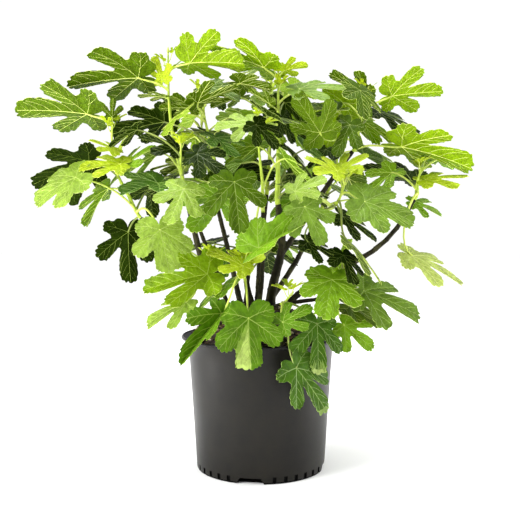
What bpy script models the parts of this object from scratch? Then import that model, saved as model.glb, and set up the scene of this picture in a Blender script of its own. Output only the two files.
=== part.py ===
"""Fig bush of several stems in a round plastic nursery pot.

Metres, +Z up. The origin is the centre of the pot's flat underside, and -Y is the front of the plant.
Woody stems and boughs rise from the flat top of the potting mix. Each one ends where a leafy shoot
takes over, and each leafy shoot, with its leaf stalks and blades, is one solid.
"""
import math
import random

import bmesh
import bpy
from mathutils import Matrix, Vector
from mathutils.bvhtree import BVHTree

# The pot
POT_HEIGHT = 0.246
BASE_RADIUS = 0.119
WALL_TOP_RADIUS = 0.1365
LIP_RADIUS = 0.149
LIP_DEPTH = 0.006
LIP_ROUND = 0.0015
POT_WALL = 0.0025
FLOOR = 0.003
BASE_ROUND = 0.0025
POT_SIDES = 64
DRAINS = 4
DRAIN_FIRST = math.radians(-99)
DRAIN_HALF_ANGLE = math.radians(11)
DRAIN_HEIGHT = 0.008
DRAIN_REACH_IN = 0.011

# The potting mix, heaped a little to the left of the middle
GAP = 0.0003
MIX_EDGE_BELOW_LIP = 0.010
MIX_TOP = 0.296
MIX_TOP_RADIUS = 0.075
MIX_TOP_SHIFT = -0.015

# Where the plant was looked at from. Leaf places are read in the upright plane through the pot's
# axis, and lie further forward or back on the line of sight.
LOOKED_FROM = Vector((0.0, -1.6, 0.48))

# Leaves
BLADE_THICK = 0.0030
STALK_FOOT = 0.0019
STALK_TOP = 0.0014
STALK_SIDES = 3
STALK_STEPS = 4
SAG = 0.14
CURL = 0.22
ROOM_THICK = 0.0060
ROOM_SIZE = 1.04
ROOM_STALK = 1.5
NEXT_LEAF_TURN = math.radians(137.5)
TRIES = 50
LIMB_SIDES = 7
SHOOT_SIDES = 5
STEPS_A_STRETCH = 2
FOOT_FLARE = 1.25
UP = Vector((0.0, 0.0, 1.0))

# Each kind of blade: how far its middle disc reaches, and its lobes on one side from the midrib round,
# as (angle from the midrib, length, half width in degrees). Lengths are shares of the blade's length.
FORMS = {
    "palm": (0.38, ((0, 1.00, 21), (47, 0.80, 22), (100, 0.50, 27))),
    "broad": (0.52, ((0, 1.00, 27), (50, 0.80, 27), (106, 0.56, 33))),
    "oval": (0.42, ((0, 1.00, 40), (62, 0.60, 36), (115, 0.42, 34))),
}

# Woody limbs in millimetres: radius at the foot, radius at the tip, and the way from foot to tip
# as (right, back, up).
SOIL = MIX_TOP * 1000
STEMS = {
    "stem_left": (6.8, 4.6, (-77, 10, SOIL), (-96, 10, 330), (-118, 5, 410), (-139, 0, 500)),
    "stem_left_thin": (4.2, 3.2, (-58, -16, SOIL), (-74, -18, 336), (-97, -22, 400), (-128, -28, 485)),
    "stem_mid_left": (5.4, 3.8, (-14, 8, SOIL), (-28, 6, 348), (-33, 2, 421), (-52, 0, 490), (-79, 0, 551)),
    "stem_centre": (4.8, 3.6, (-4, -16, SOIL), (2, -18, 350), (4, -18, 410), (4, -20, 475)),
    "stem_thick": (9.6, 5.4, (17, 8, SOIL), (25, 8, 345), (40, 6, 405), (38, 4, 450), (33, 4, 490)),
    "stem_far_right": (6.0, 3.8, (44, -2, SOIL), (66, -6, 318), (97, -10, 342), (150, -12, 370),
                       (210, -6, 402), (257, 0, 446), (289, 0, 500)),
    "stem_right_low": (4.2, 3.0, (40, -30, SOIL), (62, -38, 310), (98, -50, 316), (128, -60, 326)),
    "stem_front": (3.4, 2.6, (-22, -46, SOIL), (-25, -64, 325), (-28, -80, 352)),
    "stem_front_right": (3.4, 2.6, (14, -46, SOIL), (24, -66, 306), (36, -84, 312)),
    "stem_back_left": (5.6, 4.0, (-38, 34, SOIL), (-64, 74, 400), (-88, 108, 490)),
    "stem_back": (6.0, 4.2, (-6, 42, SOIL), (0, 84, 400), (12, 118, 510)),
    "stem_back_right": (5.6, 4.0, (14, 58, SOIL), (72, 88, 380), (118, 122, 470)),
    "stem_back_low": (4.2, 3.0, (-30, 60, SOIL), (-28, 96, 316), (-24, 130, 345)),
}
# A bough starts on the axis of the limb that carries it and is cut back to that limb's bark.
BOUGHS = {
    "bough_right": ("stem_thick", 5.4, 4.0, (39, 6, 396), (78, 12, 452), (128, 12, 528), (174, 8, 591)),
    "bough_far_left": ("stem_left", 4.6, 3.4, (-102, 9, 350), (-150, 6, 385), (-195, 3, 425), (-226, 0, 465)),
    "bough_left_low": ("stem_left_thin", 3.4, 2.8, (-68, -17, 321), (-78, -34, 334), (-86, -52, 350)),
    "bough_mid_right": ("bough_right", 3.8, 3.0, (96, 13, 479), (112, -12, 478), (126, -40, 482)),
}


def leaf(across, up, back, clock, size, turn, lean=0, form="palm", fold=None):
    """A leaf put where it shows: its junction in millimetres, the way its midrib points as seen from
    the front (0 right, 90 up), its blade's length, how far its upper face is turned from the front
    towards the sky (90 is edge-on, more shows the underside), how far its tip leans forward, and
    the angle by which its halves fold up along the midrib."""
    if fold is None:
        fold = 12 if turn > 100 else 0
    return across, up, back, clock, size, turn, lean, form, fold


# Leafy shoots: the limb each one grows on from, its way, how many leaves the spiral adds between those
# that are put where they show, the box that those keep to (left, right, front, back, low, high), and
# the leaves that are put.
SHOOTS = {
    "leaves_top_left": (
        "stem_left", ((-154, -2, 570), (-165, -3, 615), (-173, -4, 690), (-174, -5, 775)),
        6, (-310, -20, -60, 330, 470, 790),
        leaf(-231, 729, -10, 180, 132, 120),
        leaf(-133, 757, -20, 1, 102, 132, fold=30),
        leaf(-186, 726, -14, 105, 46, 150),
        leaf(-182, 693, 10, 170, 50, 100),
        leaf(-158, 596, -30, 155, 74, 60),
    ),
    "leaves_mid_left": (
        "stem_left_thin", ((-138, -60, 525), (-143, -85, 562), (-140, -100, 600)),
        4, (-280, -40, -300, 30, 420, 680),
        leaf(-145, 519, -140, 246, 86, 12, 40),
        leaf(-120, 585, -130, 330, 66, 35, 20),
    ),
    "leaves_upper_left": (
        "stem_mid_left", ((-94, 0, 604), (-106, -2, 655), (-110, -3, 700)),
        5, (-240, 60, -100, 300, 470, 760),
        leaf(-118, 682, -30, 27, 80, 110),
        leaf(-130, 672, 10, 178, 62, 120),
        leaf(-182, 646, 20, 193, 106, 122),
    ),
    "leaves_centre": (
        "stem_centre", ((3, -55, 530), (-3, -85, 585), (-8, -100, 640)),
        4, (-140, 130, -320, 30, 430, 720),
        leaf(-50, 532, -190, 277, 88, 8, 20),
        leaf(-3, 408, -165, 36, 84, 42, 10, "broad"),
        leaf(-20, 642, -120, 182, 64, 45),
        leaf(-9, 640, -130, 315, 54, 35, 10),
    ),
    "leaves_top_centre": (
        "stem_thick", ((33, 2, 560), (33, 0, 650), (33, -2, 738)),
        6, (-140, 180, -100, 300, 480, 770),
        leaf(6, 749, -16, 157, 113, 108),
        leaf(74, 708, -20, 8, 92, 62),
        leaf(44, 742, -8, 20, 46, 120),
        leaf(16, 681, -20, 140, 46, 110),
        leaf(40, 653, -30, 300, 52, 40),
    ),
    "leaves_top_right": (
        "bough_right", ((186, 4, 640), (202, 0, 704)),
        6, (60, 340, -100, 300, 460, 760),
        leaf(248, 695, -20, 8, 93, 132),
        leaf(266, 599, 0, 347, 138, 113),
        leaf(193, 697, -14, 140, 76, 115),
        leaf(112, 625, -40, 92, 86, 155),
        leaf(168, 640, -60, 240, 64, 30, 10),
    ),
    "leaves_far_left": (
        "bough_far_left", ((-250, -2, 510), (-272, -4, 552), (-279, -6, 600), (-280, -6, 650)),
        5, (-410, -170, 0, 280, 400, 640),
        leaf(-327, 661, 0, 174, 134, 119),
        leaf(-324, 570, 30, 195, 114, 140, fold=-12),
        leaf(-349, 541, -50, 205, 108, 50),
        leaf(-280, 655, -6, 90, 36, 150),
        leaf(-265, 566, -26, 178, 62, 60),
        leaf(-258, 563, -34, 40, 56, 60),
        leaf(-275, 592, -16, 150, 42, 70),
        leaf(-268, 594, -20, 60, 46, 70),
        leaf(-250, 438, 10, 268, 96, 150),
        leaf(-190, 442, -150, 284, 86, 15, 25, "broad"),
    ),
    "leaves_left_low": (
        "bough_left_low", ((-92, -62, 368), (-95, -70, 392)),
        2, (-220, -60, -260, 10, 300, 420),
        leaf(-101, 359, -95, 188, 118, 42),
        leaf(-141, 306, -90, 205, 84, 60),
    ),
    "leaves_front": (
        "stem_front", ((-30, -90, 368), (-32, -97, 388)),
        1, (-100, 40, -260, -80, 300, 440),
        leaf(-23, 275, -146, 274, 100, 6, 20, "broad"),
        leaf(-34, 374, -112, 152, 68, 60),
        leaf(-28, 378, -118, 62, 52, 50),
        leaf(-62, 340, -95, 212, 72, 80, 0, "oval"),
        leaf(-74, 284, -116, 229, 100, 24, 24, "oval"),
    ),
    "leaves_front_right": (
        "stem_front_right", ((44, -94, 318), (52, -98, 328)),
        1, (0, 110, -240, -80, 280, 380),
        leaf(106, 265, -116, 275, 92, 26, 24),
        leaf(68, 178, -166, 299, 98, 42, 8),
        leaf(42, 268, -122, 32, 58, 40),
        leaf(30, 312, -62, 352, 50, 62),
    ),
    "leaves_right_low": (
        "stem_right_low", ((146, -66, 342), (156, -72, 362)),
        3, (110, 280, -220, 40, 300, 420),
        leaf(134, 348, -115, 256, 84, 6, 48, "broad"),
        leaf(149, 365, -70, 75, 62, 130),
        leaf(195, 327, -80, 338, 114, 54),
        leaf(168, 297, -60, 340, 72, 65, 0, "oval"),
        leaf(158, 262, -100, 325, 66, 25, 10),
    ),
    "leaves_mid_right": (
        "bough_mid_right", ((142, -70, 500), (150, -92, 530)),
        4, (50, 300, -320, 60, 380, 620),
        leaf(155, 467, -80, 330, 76, 62),
        leaf(168, 416, -50, 315, 90, 80),
        leaf(197, 495, -120, 344, 102, 48),
        leaf(83, 485, -185, 296, 70, 12, 15),
        leaf(65, 515, -160, 30, 58, 45),
        leaf(89, 419, -90, 335, 64, 62),
        leaf(144, 553, -110, 150, 62, 60),
        leaf(150, 556, -118, 35, 58, 50),
    ),
    "leaves_far_right": (
        "stem_far_right", ((295, 0, 530), (303, -2, 560)),
        4, (200, 400, 0, 260, 400, 600),
        leaf(285, 393, -50, 338, 108, 66),
        leaf(288, 493, -40, 345, 60, 60),
        leaf(312, 537, -10, 10, 82, 70),
        leaf(285, 535, 40, 160, 108, 105),
    ),
    "leaves_back_left": (
        "stem_back_left", ((-106, 132, 560), (-120, 150, 630), (-124, 158, 690)),
        14, (-340, 40, 30, 400, 330, 770),
    ),
    "leaves_back": (
        "stem_back", ((18, 140, 590), (22, 152, 670), (22, 158, 740)),
        12, (-180, 200, 40, 400, 400, 790),
    ),
    "leaves_back_right": (
        "stem_back_right", ((146, 148, 540), (164, 164, 610), (168, 172, 670)),
        14, (-20, 360, 30, 400, 320, 750),
    ),
    "leaves_back_low": (
        "stem_back_low", ((-20, 152, 372), (-16, 166, 405)),
        9, (-220, 200, 80, 350, 200, 540),
    ),
}
SHOOT_TIP = 1.5

# Colour, roughness of each material
BLACK_PLASTIC = ((0.045, 0.047, 0.045, 1.0), 0.42)
POTTING_MIX = ((0.030, 0.020, 0.014, 1.0), 0.95)
BARK = ((0.060, 0.042, 0.026, 1.0), 0.85)
LEAF_GREEN = ((0.150, 0.330, 0.045, 1.0), 0.55)


def millimetres(place):
    """A (right, back, up) place in millimetres as a vector in metres."""
    return Vector(place) * 0.001


def on_sight_line(across, up, back):
    """The place at this depth that shows at (across, up) of the plane through the pot's axis."""
    share = (back * 0.001 - LOOKED_FROM.y) / -LOOKED_FROM.y
    in_plane = Vector((across * 0.001, 0.0, up * 0.001))
    return LOOKED_FROM + (in_plane - LOOKED_FROM) * share


def smooth_way(places, steps=STEPS_A_STRETCH):
    """Points on a smooth curve through the places, so many steps to each stretch."""
    ends = [places[0] * 2 - places[1], *places, places[-1] * 2 - places[-2]]
    points = []
    for before, start, end, after in zip(ends, ends[1:], ends[2:], ends[3:]):
        for step in range(steps):
            t = step / steps
            points.append(0.5 * (
                2 * start + (end - before) * t
                + (2 * before - 5 * start + 4 * end - after) * t ** 2
                + (3 * start - before - 3 * end + after) * t ** 3))
    return [*points, places[-1].copy()]


def arc(start, leaving, arriving, end, steps):
    """Points on a cubic curve that leaves its start and arrives at its end by two handles."""
    points = []
    for step in range(steps + 1):
        t = step / steps
        s = 1 - t
        points.append(start * s ** 3 + leaving * 3 * s * s * t + arriving * 3 * s * t * t + end * t ** 3)
    return points


def tube(points, radii, sides, foot_way=None):
    """Vertices and faces of a closed tapering tube. Its flat ends are square to it, or its foot is
    square to the way given."""
    ahead = [(b - a).normalized() for a, b in zip(points, points[1:])]
    ways = [ahead[0]] + [(a + b).normalized() for a, b in zip(ahead, ahead[1:])] + [ahead[-1]]
    if foot_way is not None:
        ways[0] = foot_way
    out = ways[0].orthogonal().normalized()
    vertices = []
    for way, point, radius in zip(ways, points, radii):
        out = (out - way * out.dot(way)).normalized()
        across = way.cross(out)
        for side in range(sides):
            angle = math.tau * side / sides
            vertices.append(point + (out * math.cos(angle) + across * math.sin(angle)) * radius)
    faces = [tuple(reversed(range(sides)))]
    for ring in range(len(points) - 1):
        low = ring * sides
        for side in range(sides):
            nxt = (side + 1) % sides
            faces.append((low + side, low + nxt, low + sides + nxt, low + sides + side))
    top = (len(points) - 1) * sides
    faces.append(tuple(range(top, top + sides)))
    return vertices, faces


def tapered(first, last, count):
    """Radii from first to last over so many points."""
    return [first + (last - first) * i / (count - 1) for i in range(count)]


def blade_reach(form, angle):
    """How far a blade reaches from its junction at this angle from the midrib, as a share of its length."""
    disc, lobes = FORMS[form]
    angle = abs(angle)
    notch = max(0.0, (angle - 138) / 42)
    reach = disc * (1 - 0.72 * notch ** 1.5)
    for middle, length, half in lobes:
        off = abs(angle - middle) / half
        if off < 1:
            reach = max(reach, length * (1 - off ** 2.6) ** 0.42)
    return reach


def outline_angles(form):
    """The angles round a blade at which its outline turns: each lobe's tip and shoulders, each notch
    between two lobes, and the notch at the stalk."""
    lobes = FORMS[form][1]
    half = []
    for middle, _, wide in lobes:
        half += [middle - 0.62 * wide, middle, middle + 0.62 * wide]
    for (a, _, wide_a), (b, _, wide_b) in zip(lobes, lobes[1:]):
        half.append((a + wide_a + b - wide_b) / 2)
    half = sorted(angle for angle in half if angle > 0)
    return [0, *half, 180, *[-angle for angle in reversed(half)]]


def blade_lift(u, v, fold):
    """How far a blade stands off its own plane, in shares of its length: it sags to its tips, and its
    halves fold up along the midrib."""
    return math.tan(math.radians(fold)) * abs(v) - SAG * max(u, 0.0) ** 2 - CURL * v * v


def rim_of(junction, along, normal, size, form, fold):
    """The points round a blade's edge."""
    side = normal.cross(along)
    rim = []
    for angle in outline_angles(form):
        reach = blade_reach(form, angle)
        u = reach * math.cos(math.radians(angle))
        v = reach * math.sin(math.radians(angle))
        rim.append(junction + (along * u + side * v + normal * blade_lift(u, v, fold)) * size)
    return rim


def blade(junction, along, normal, size, form, fold, thick):
    """Vertices and faces of a blade that is thickest at its junction and sharp at its lobed edge."""
    rim = rim_of(junction, along, normal, size, form, fold)
    count = len(rim)
    vertices = [*rim, junction + normal * thick / 2, junction - normal * thick / 2]
    faces = []
    for i in range(count):
        nxt = (i + 1) % count
        faces.append((count, i, nxt))
        faces.append((count + 1, nxt, i))
    return vertices, faces


def leaf_solid(stalk, radii, along, normal, size, form, fold):
    """A leaf as one solid: its stalk's last ring is spread out as the underside of its blade."""
    junction = stalk[-1]
    ring = []
    side = normal.cross(along)
    under = junction - normal * BLADE_THICK / 2
    for turn in range(STALK_SIDES):
        angle = math.tau * turn / STALK_SIDES
        ring.append(under + (along * math.cos(angle) + side * math.sin(angle)) * radii[-1])
    rim = rim_of(junction, along, normal, size, form, fold)
    count = len(rim)
    angles = [math.radians(angle) % math.tau for angle in outline_angles(form)]
    vertices = [*rim, junction + normal * BLADE_THICK / 2, *ring]
    first = count + 1
    faces = [(count, i, (i + 1) % count) for i in range(count)]
    nearest = [round(angle / math.tau * STALK_SIDES) % STALK_SIDES for angle in angles]
    for i in range(count):
        nxt = (i + 1) % count
        faces.append((nxt, i, first + nearest[i]))
        if nearest[i] != nearest[nxt]:
            faces.append((nxt, first + nearest[i], first + nearest[nxt]))
    lower = len(vertices)
    low_vertices, low_faces = tube(stalk[:-1], radii[:-1], STALK_SIDES)
    vertices += low_vertices
    faces += [tuple(lower + i for i in face) for face in low_faces[:-1]]
    last = len(vertices) - STALK_SIDES
    turned = best_turn(vertices[last:], ring)
    for i in range(STALK_SIDES):
        nxt = (i + 1) % STALK_SIDES
        top, top_next = first + (i + turned) % STALK_SIDES, first + (nxt + turned) % STALK_SIDES
        faces.append((last + i, last + nxt, top_next, top))
    return vertices, faces


def best_turn(low, high):
    """By how many places the upper ring is turned so that its points lie nearest the lower ones."""
    count = len(low)

    def apart(turn):
        return sum((low[i] - high[(i + turn) % count]).length for i in range(count))
    return min(range(count), key=apart)


def bounds(vertices):
    """Lowest and highest corners of some points."""
    return [[pick(v[axis] for v in vertices) for axis in range(3)] for pick in (min, max)]


class Room:
    """The solids placed so far, which tells whether a new one would touch them."""

    def __init__(self):
        self.placed = []

    def add(self, solid, owner):
        self.placed.append((owner, BVHTree.FromPolygons(*solid), bounds(solid[0])))

    def is_free(self, solid, but=None):
        low, high = bounds(solid[0])
        tree = BVHTree.FromPolygons(*solid)
        for owner, other, (other_low, other_high) in self.placed:
            if owner == but:
                continue
            apart = any(low[i] > other_high[i] or high[i] < other_low[i] for i in range(3))
            if not apart and tree.overlap(other):
                return False
        return True


class Shoot:
    """A leafy shoot: its axis, and the solids that will be fused to it."""

    def __init__(self, name, start, heading, radius, way):
        self.name = name
        first = start + heading * GAP
        guide = first + heading * 0.012
        places = [first, guide, *[millimetres(place) for place in way]]
        self.axis = smooth_way(places)
        self.radii = tapered(radius, SHOOT_TIP * 0.001, len(self.axis))
        self.solids = [tube(self.axis, self.radii, SHOOT_SIDES, heading)]

    def at(self, share):
        """The point that lies this share of the way up the axis."""
        place = share * (len(self.axis) - 1)
        low = min(int(place), len(self.axis) - 2)
        return self.axis[low].lerp(self.axis[low + 1], place - low)

    def share_below(self, point):
        """Where a stalk to this point leaves the axis: lower than the point, by half their distance."""
        shares = [i / 24 for i in range(2, 24)]

        def miss(share):
            foot = self.at(share)
            flat = math.hypot(point.x - foot.x, point.y - foot.y)
            return abs(point.z - 0.5 * flat - foot.z) + 0.15 * flat
        return min(shares, key=miss)


def try_leaf(room, shoot, share, junction, along, normal, size, form, fold, rise):
    """Adds the leaf to its shoot if there is room for it, and says whether there was."""
    foot = shoot.at(share)
    span = (junction - foot).length
    away = (junction - foot).normalized()
    leaving = foot + (away + UP * rise).normalized() * span * 0.42
    arriving = junction - (along * 0.7 + away * 0.6 + normal * 0.35).normalized() * span * 0.34
    stalk = arc(foot, leaving, arriving, junction, STALK_STEPS)
    radii = tapered(STALK_FOOT, STALK_TOP, len(stalk))
    if not room.is_free(blade(junction, along, normal, size * ROOM_SIZE, form, fold, ROOM_THICK)):
        return False
    wide = [radius * ROOM_STALK for radius in radii[:-1]]
    if not room.is_free(tube(stalk[:-1], wide, STALK_SIDES), but=shoot.name):
        return False
    solid = leaf_solid(stalk, radii, along, normal, size, form, fold)
    if not room.is_free(solid, but=shoot.name):
        return False
    room.add(solid, shoot.name + " leaf")
    shoot.solids.append(solid)
    return True


def facing(clock, turn, lean):
    """The midrib's way and the upper face's normal of a leaf that is put where it shows."""
    clock, turn, lean = (math.radians(angle) for angle in (clock, turn, lean))
    along = Vector((math.cos(clock) * math.cos(lean), -math.sin(lean), math.sin(clock) * math.cos(lean)))
    to_front = Vector((0, -1, 0))
    to_front = (to_front - along * to_front.dot(along)).normalized()
    upward = along.cross(to_front)
    if along.x > 0:
        upward = -upward
    return along, to_front * math.cos(turn) + upward * math.sin(turn)


def put_leaf(room, shoot, across, up, back, clock, size, turn, lean, form, fold):
    """A leaf that is put where it shows. Where it has no room it moves on its line of sight."""
    along, normal = facing(clock, turn, lean)
    for tried in range(TRIES):
        shift = (tried + 1) // 2 * 7 * (-1) ** tried
        junction = on_sight_line(across, up, back + shift)
        share = shoot.share_below(junction)
        for rise, move in ((0.5, 0), (0.9, 0), (0.2, 0), (0.5, 0.12), (0.5, -0.12), (0.9, 0.25), (0.3, -0.25)):
            foot = min(0.97, max(0.06, share + move))
            if try_leaf(room, shoot, foot, junction, along, normal, size * 0.001, form, fold, rise):
                return


def grow_leaf(room, shoot, share, bearing, space, chance):
    """A leaf of the shoot's own spiral. Where it has no room it is tried at other bearings and tilts."""
    low = millimetres(space[0::2])
    high = millimetres(space[1::2])
    for tried in range(TRIES):
        spread = 0.15 + tried / TRIES
        heading = bearing + chance.uniform(-1.3, 1.3) * spread
        climb = math.radians(chance.uniform(5, 50))
        stalk = chance.uniform(0.050, 0.130) * (1 - 0.3 * share)
        out = Vector((math.cos(heading), math.sin(heading), 0))
        junction = shoot.at(share) + (out * math.cos(climb) + UP * math.sin(climb)) * stalk
        heading += chance.uniform(-0.5, 0.5)
        fall = math.radians(chance.uniform(5, 50))
        roll = math.radians(chance.uniform(-28, 28))
        size = chance.uniform(0.085, 0.120) * (1 - 0.3 * share ** 2) * (1 - 0.3 * tried / TRIES)
        form = chance.choice(("palm", "palm", "broad"))
        fold = chance.uniform(-6, 20)
        flat = Vector((math.cos(heading), math.sin(heading), 0))
        along = flat * math.cos(fall) - UP * math.sin(fall)
        level = Vector((-math.sin(heading), math.cos(heading), 0))
        normal = Matrix.Rotation(roll, 3, along) @ along.cross(level)
        tip = junction + along * size
        inside = all(low[i] < point[i] < high[i] for i in range(3) for point in (junction, tip))
        if inside and try_leaf(room, shoot, share, junction, along, normal, size, form, fold, 0.5):
            return


def mesh_object(name, solid, material):
    """A new object of one solid."""
    mesh = bpy.data.meshes.new(name)
    mesh.from_pydata([tuple(vertex) for vertex in solid[0]], [], solid[1])
    mesh.validate()
    obj = bpy.data.objects.new(name, mesh)
    bpy.context.scene.collection.objects.link(obj)
    mesh.materials.append(material)
    return obj


def apply_modifiers(obj):
    """Replaces the object's mesh by its evaluated one."""
    graph = bpy.context.evaluated_depsgraph_get()
    made = bpy.data.meshes.new_from_object(obj.evaluated_get(graph))
    obj.modifiers.clear()
    obj.data = made
    made.name = obj.name


def is_sound(mesh):
    """Whether a mesh is one closed body."""
    work = bmesh.new()
    work.from_mesh(mesh)
    closed = all(edge.is_manifold for edge in work.edges)
    reached = set()
    front = list(work.verts)[:1]
    while front:
        vertex = front.pop()
        if vertex.index in reached:
            continue
        reached.add(vertex.index)
        front += [edge.other_vert(vertex) for edge in vertex.link_edges]
    whole = len(reached) == len(work.verts)
    work.free()
    return closed and whole


def fuse(name, solids, material):
    """One object of all the solids, by one Boolean union on a collection."""
    group = bpy.data.collections.new(name + " parts")
    bpy.context.scene.collection.children.link(group)
    for number, solid in enumerate(solids[1:]):
        part = mesh_object(f"{name}_part_{number}", solid, material)
        bpy.context.scene.collection.objects.unlink(part)
        group.objects.link(part)
    for solver in ("EXACT", "MANIFOLD"):
        whole = mesh_object(name, solids[0], material)
        union = whole.modifiers.new("union", "BOOLEAN")
        union.operation = "UNION"
        union.operand_type = "COLLECTION"
        union.collection = group
        union.solver = solver
        apply_modifiers(whole)
        if is_sound(whole.data):
            break
        if solver == "EXACT":
            bpy.data.objects.remove(whole)
    for part in list(group.objects):
        bpy.data.objects.remove(part)
    bpy.data.collections.remove(group)


def principled(name, look):
    """A plain material with this colour and roughness."""
    colour, roughness = look
    material = bpy.data.materials.new(name)
    material.use_nodes = True
    shader = material.node_tree.nodes["Principled BSDF"]
    shader.inputs["Base Color"].default_value = colour
    shader.inputs["Roughness"].default_value = roughness
    shader.inputs["Metallic"].default_value = 0.0
    material.diffuse_color = colour
    return material


def inner_radius(height):
    """The radius of the pot's inner wall at this height."""
    wall_foot = BASE_RADIUS - POT_WALL
    wall_head = WALL_TOP_RADIUS - POT_WALL
    return wall_foot + (wall_head - wall_foot) * (height - FLOOR) / (POT_HEIGHT - FLOOR)


def turned(name, profile, material):
    """A solid turned from a profile of (radius, height) that starts and ends on the axis."""
    work = bmesh.new()
    row = [work.verts.new((radius, 0, height)) for radius, height in profile]
    edges = [work.edges.new(pair) for pair in zip(row, row[1:])]
    bmesh.ops.spin(work, geom=row + edges, cent=(0, 0, 0), axis=(0, 0, 1), angle=math.tau,
                   steps=POT_SIDES, use_merge=True)
    bmesh.ops.remove_doubles(work, verts=work.verts, dist=1e-6)
    bmesh.ops.recalc_face_normals(work, faces=work.faces)
    mesh = bpy.data.meshes.new(name)
    work.to_mesh(mesh)
    work.free()
    mesh.shade_smooth()
    mesh.set_sharp_from_angle(angle=math.radians(35))
    mesh.materials.append(material)
    obj = bpy.data.objects.new(name, mesh)
    bpy.context.scene.collection.objects.link(obj)
    return obj


def make_pot(material):
    """The pot: a tapered wall with a flat floor, an outward lip and four drain notches at its foot."""
    lip_low = POT_HEIGHT - LIP_DEPTH
    profile = [
        (0.0, 0.0),
        (BASE_RADIUS - BASE_ROUND, 0.0),
        (BASE_RADIUS, BASE_ROUND),
        (WALL_TOP_RADIUS, lip_low),
        (LIP_RADIUS - LIP_ROUND, lip_low),
        (LIP_RADIUS, lip_low + LIP_ROUND),
        (LIP_RADIUS, POT_HEIGHT - LIP_ROUND),
        (LIP_RADIUS - LIP_ROUND, POT_HEIGHT),
        (WALL_TOP_RADIUS - POT_WALL, POT_HEIGHT),
        (BASE_RADIUS - POT_WALL, FLOOR),
        (0.0, FLOOR),
    ]
    pot = turned("pot", profile, material)
    cutters = [drain_cutter(number, material) for number in range(DRAINS)]
    for cutter in cutters:
        cut = pot.modifiers.new("drain", "BOOLEAN")
        cut.operation = "DIFFERENCE"
        cut.solver = "EXACT"
        cut.object = cutter
    apply_modifiers(pot)
    for cutter in cutters:
        bpy.data.objects.remove(cutter)
    return pot


def drain_cutter(number, material):
    """The wedge that cuts one drain notch out of the foot of the wall."""
    middle = DRAIN_FIRST + math.tau * number / DRAINS
    corners = []
    for height in (-DRAIN_HEIGHT, DRAIN_HEIGHT):
        for radius in (BASE_RADIUS - DRAIN_REACH_IN, BASE_RADIUS + DRAIN_REACH_IN):
            for side in (-1, 1):
                angle = middle + side * DRAIN_HALF_ANGLE * (1 - 0.12 * height / DRAIN_HEIGHT)
                corners.append(Vector((math.cos(angle) * radius, math.sin(angle) * radius, height)))
    faces = [(0, 1, 3, 2), (4, 6, 7, 5), (0, 4, 5, 1), (2, 3, 7, 6), (0, 2, 6, 4), (1, 5, 7, 3)]
    cutter = mesh_object(f"drain_cutter_{number}", (corners, faces), material)
    cutter.hide_render = True
    cutter.display_type = "WIRE"
    work = bmesh.new()
    work.from_mesh(cutter.data)
    bmesh.ops.recalc_face_normals(work, faces=work.faces)
    work.to_mesh(cutter.data)
    work.free()
    return cutter


def make_mix(material):
    """The potting mix: it fills the pot and is heaped to a flat top that the stems stand on."""
    edge = POT_HEIGHT - MIX_EDGE_BELOW_LIP
    floor = FLOOR + GAP
    rings = (
        (0.0, inner_radius(floor) - 1.05 * GAP, floor),
        (0.0, inner_radius(edge) - 1.05 * GAP, edge),
        (MIX_TOP_SHIFT, MIX_TOP_RADIUS, MIX_TOP),
    )
    vertices = []
    for shift, radius, height in rings:
        for side in range(POT_SIDES):
            angle = math.tau * side / POT_SIDES
            vertices.append(Vector((shift + radius * math.cos(angle), radius * math.sin(angle), height)))
    faces = [tuple(reversed(range(POT_SIDES)))]
    for ring in range(2):
        low = ring * POT_SIDES
        for side in range(POT_SIDES):
            nxt = (side + 1) % POT_SIDES
            faces.append((low + side, low + nxt, low + POT_SIDES + nxt, low + POT_SIDES + side))
    faces.append(tuple(range(2 * POT_SIDES, 3 * POT_SIDES)))
    return mesh_object("potting_mix", (vertices, faces), material)


def solid_of(obj):
    """An object's vertices and faces, for telling what touches it."""
    mesh = obj.data
    return [vertex.co.copy() for vertex in mesh.vertices], [tuple(face.vertices) for face in mesh.polygons]


def make_limb(name, foot_radius, tip_radius, places, material, is_stem):
    """A tapering woody limb, and the points, radii and foot of its axis. A stem is cut level at the
    potting mix and flares there."""
    axis = smooth_way([millimetres(place) for place in places])
    radii = tapered(foot_radius * 0.001, tip_radius * 0.001, len(axis))
    if is_stem:
        axis[0].z += GAP
        radii[0] *= FOOT_FLARE
    foot_way = UP if is_stem else None
    obj = mesh_object(name, tube(axis, radii, LIMB_SIDES, foot_way), material)
    return obj, (axis, radii, foot_way)


def cut_back(bough, carrier, material):
    """Cuts a bough back to the bark of the limb that it grows from, a gap clear of it."""
    axis, radii, foot_way = carrier
    wider = [radius + GAP for radius in radii]
    cutter = mesh_object("bark_cutter", tube(axis, wider, LIMB_SIDES, foot_way), material)
    cut = bough.modifiers.new("seat", "BOOLEAN")
    cut.operation = "DIFFERENCE"
    cut.solver = "EXACT"
    cut.object = cutter
    apply_modifiers(bough)
    bpy.data.objects.remove(cutter)


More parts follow.
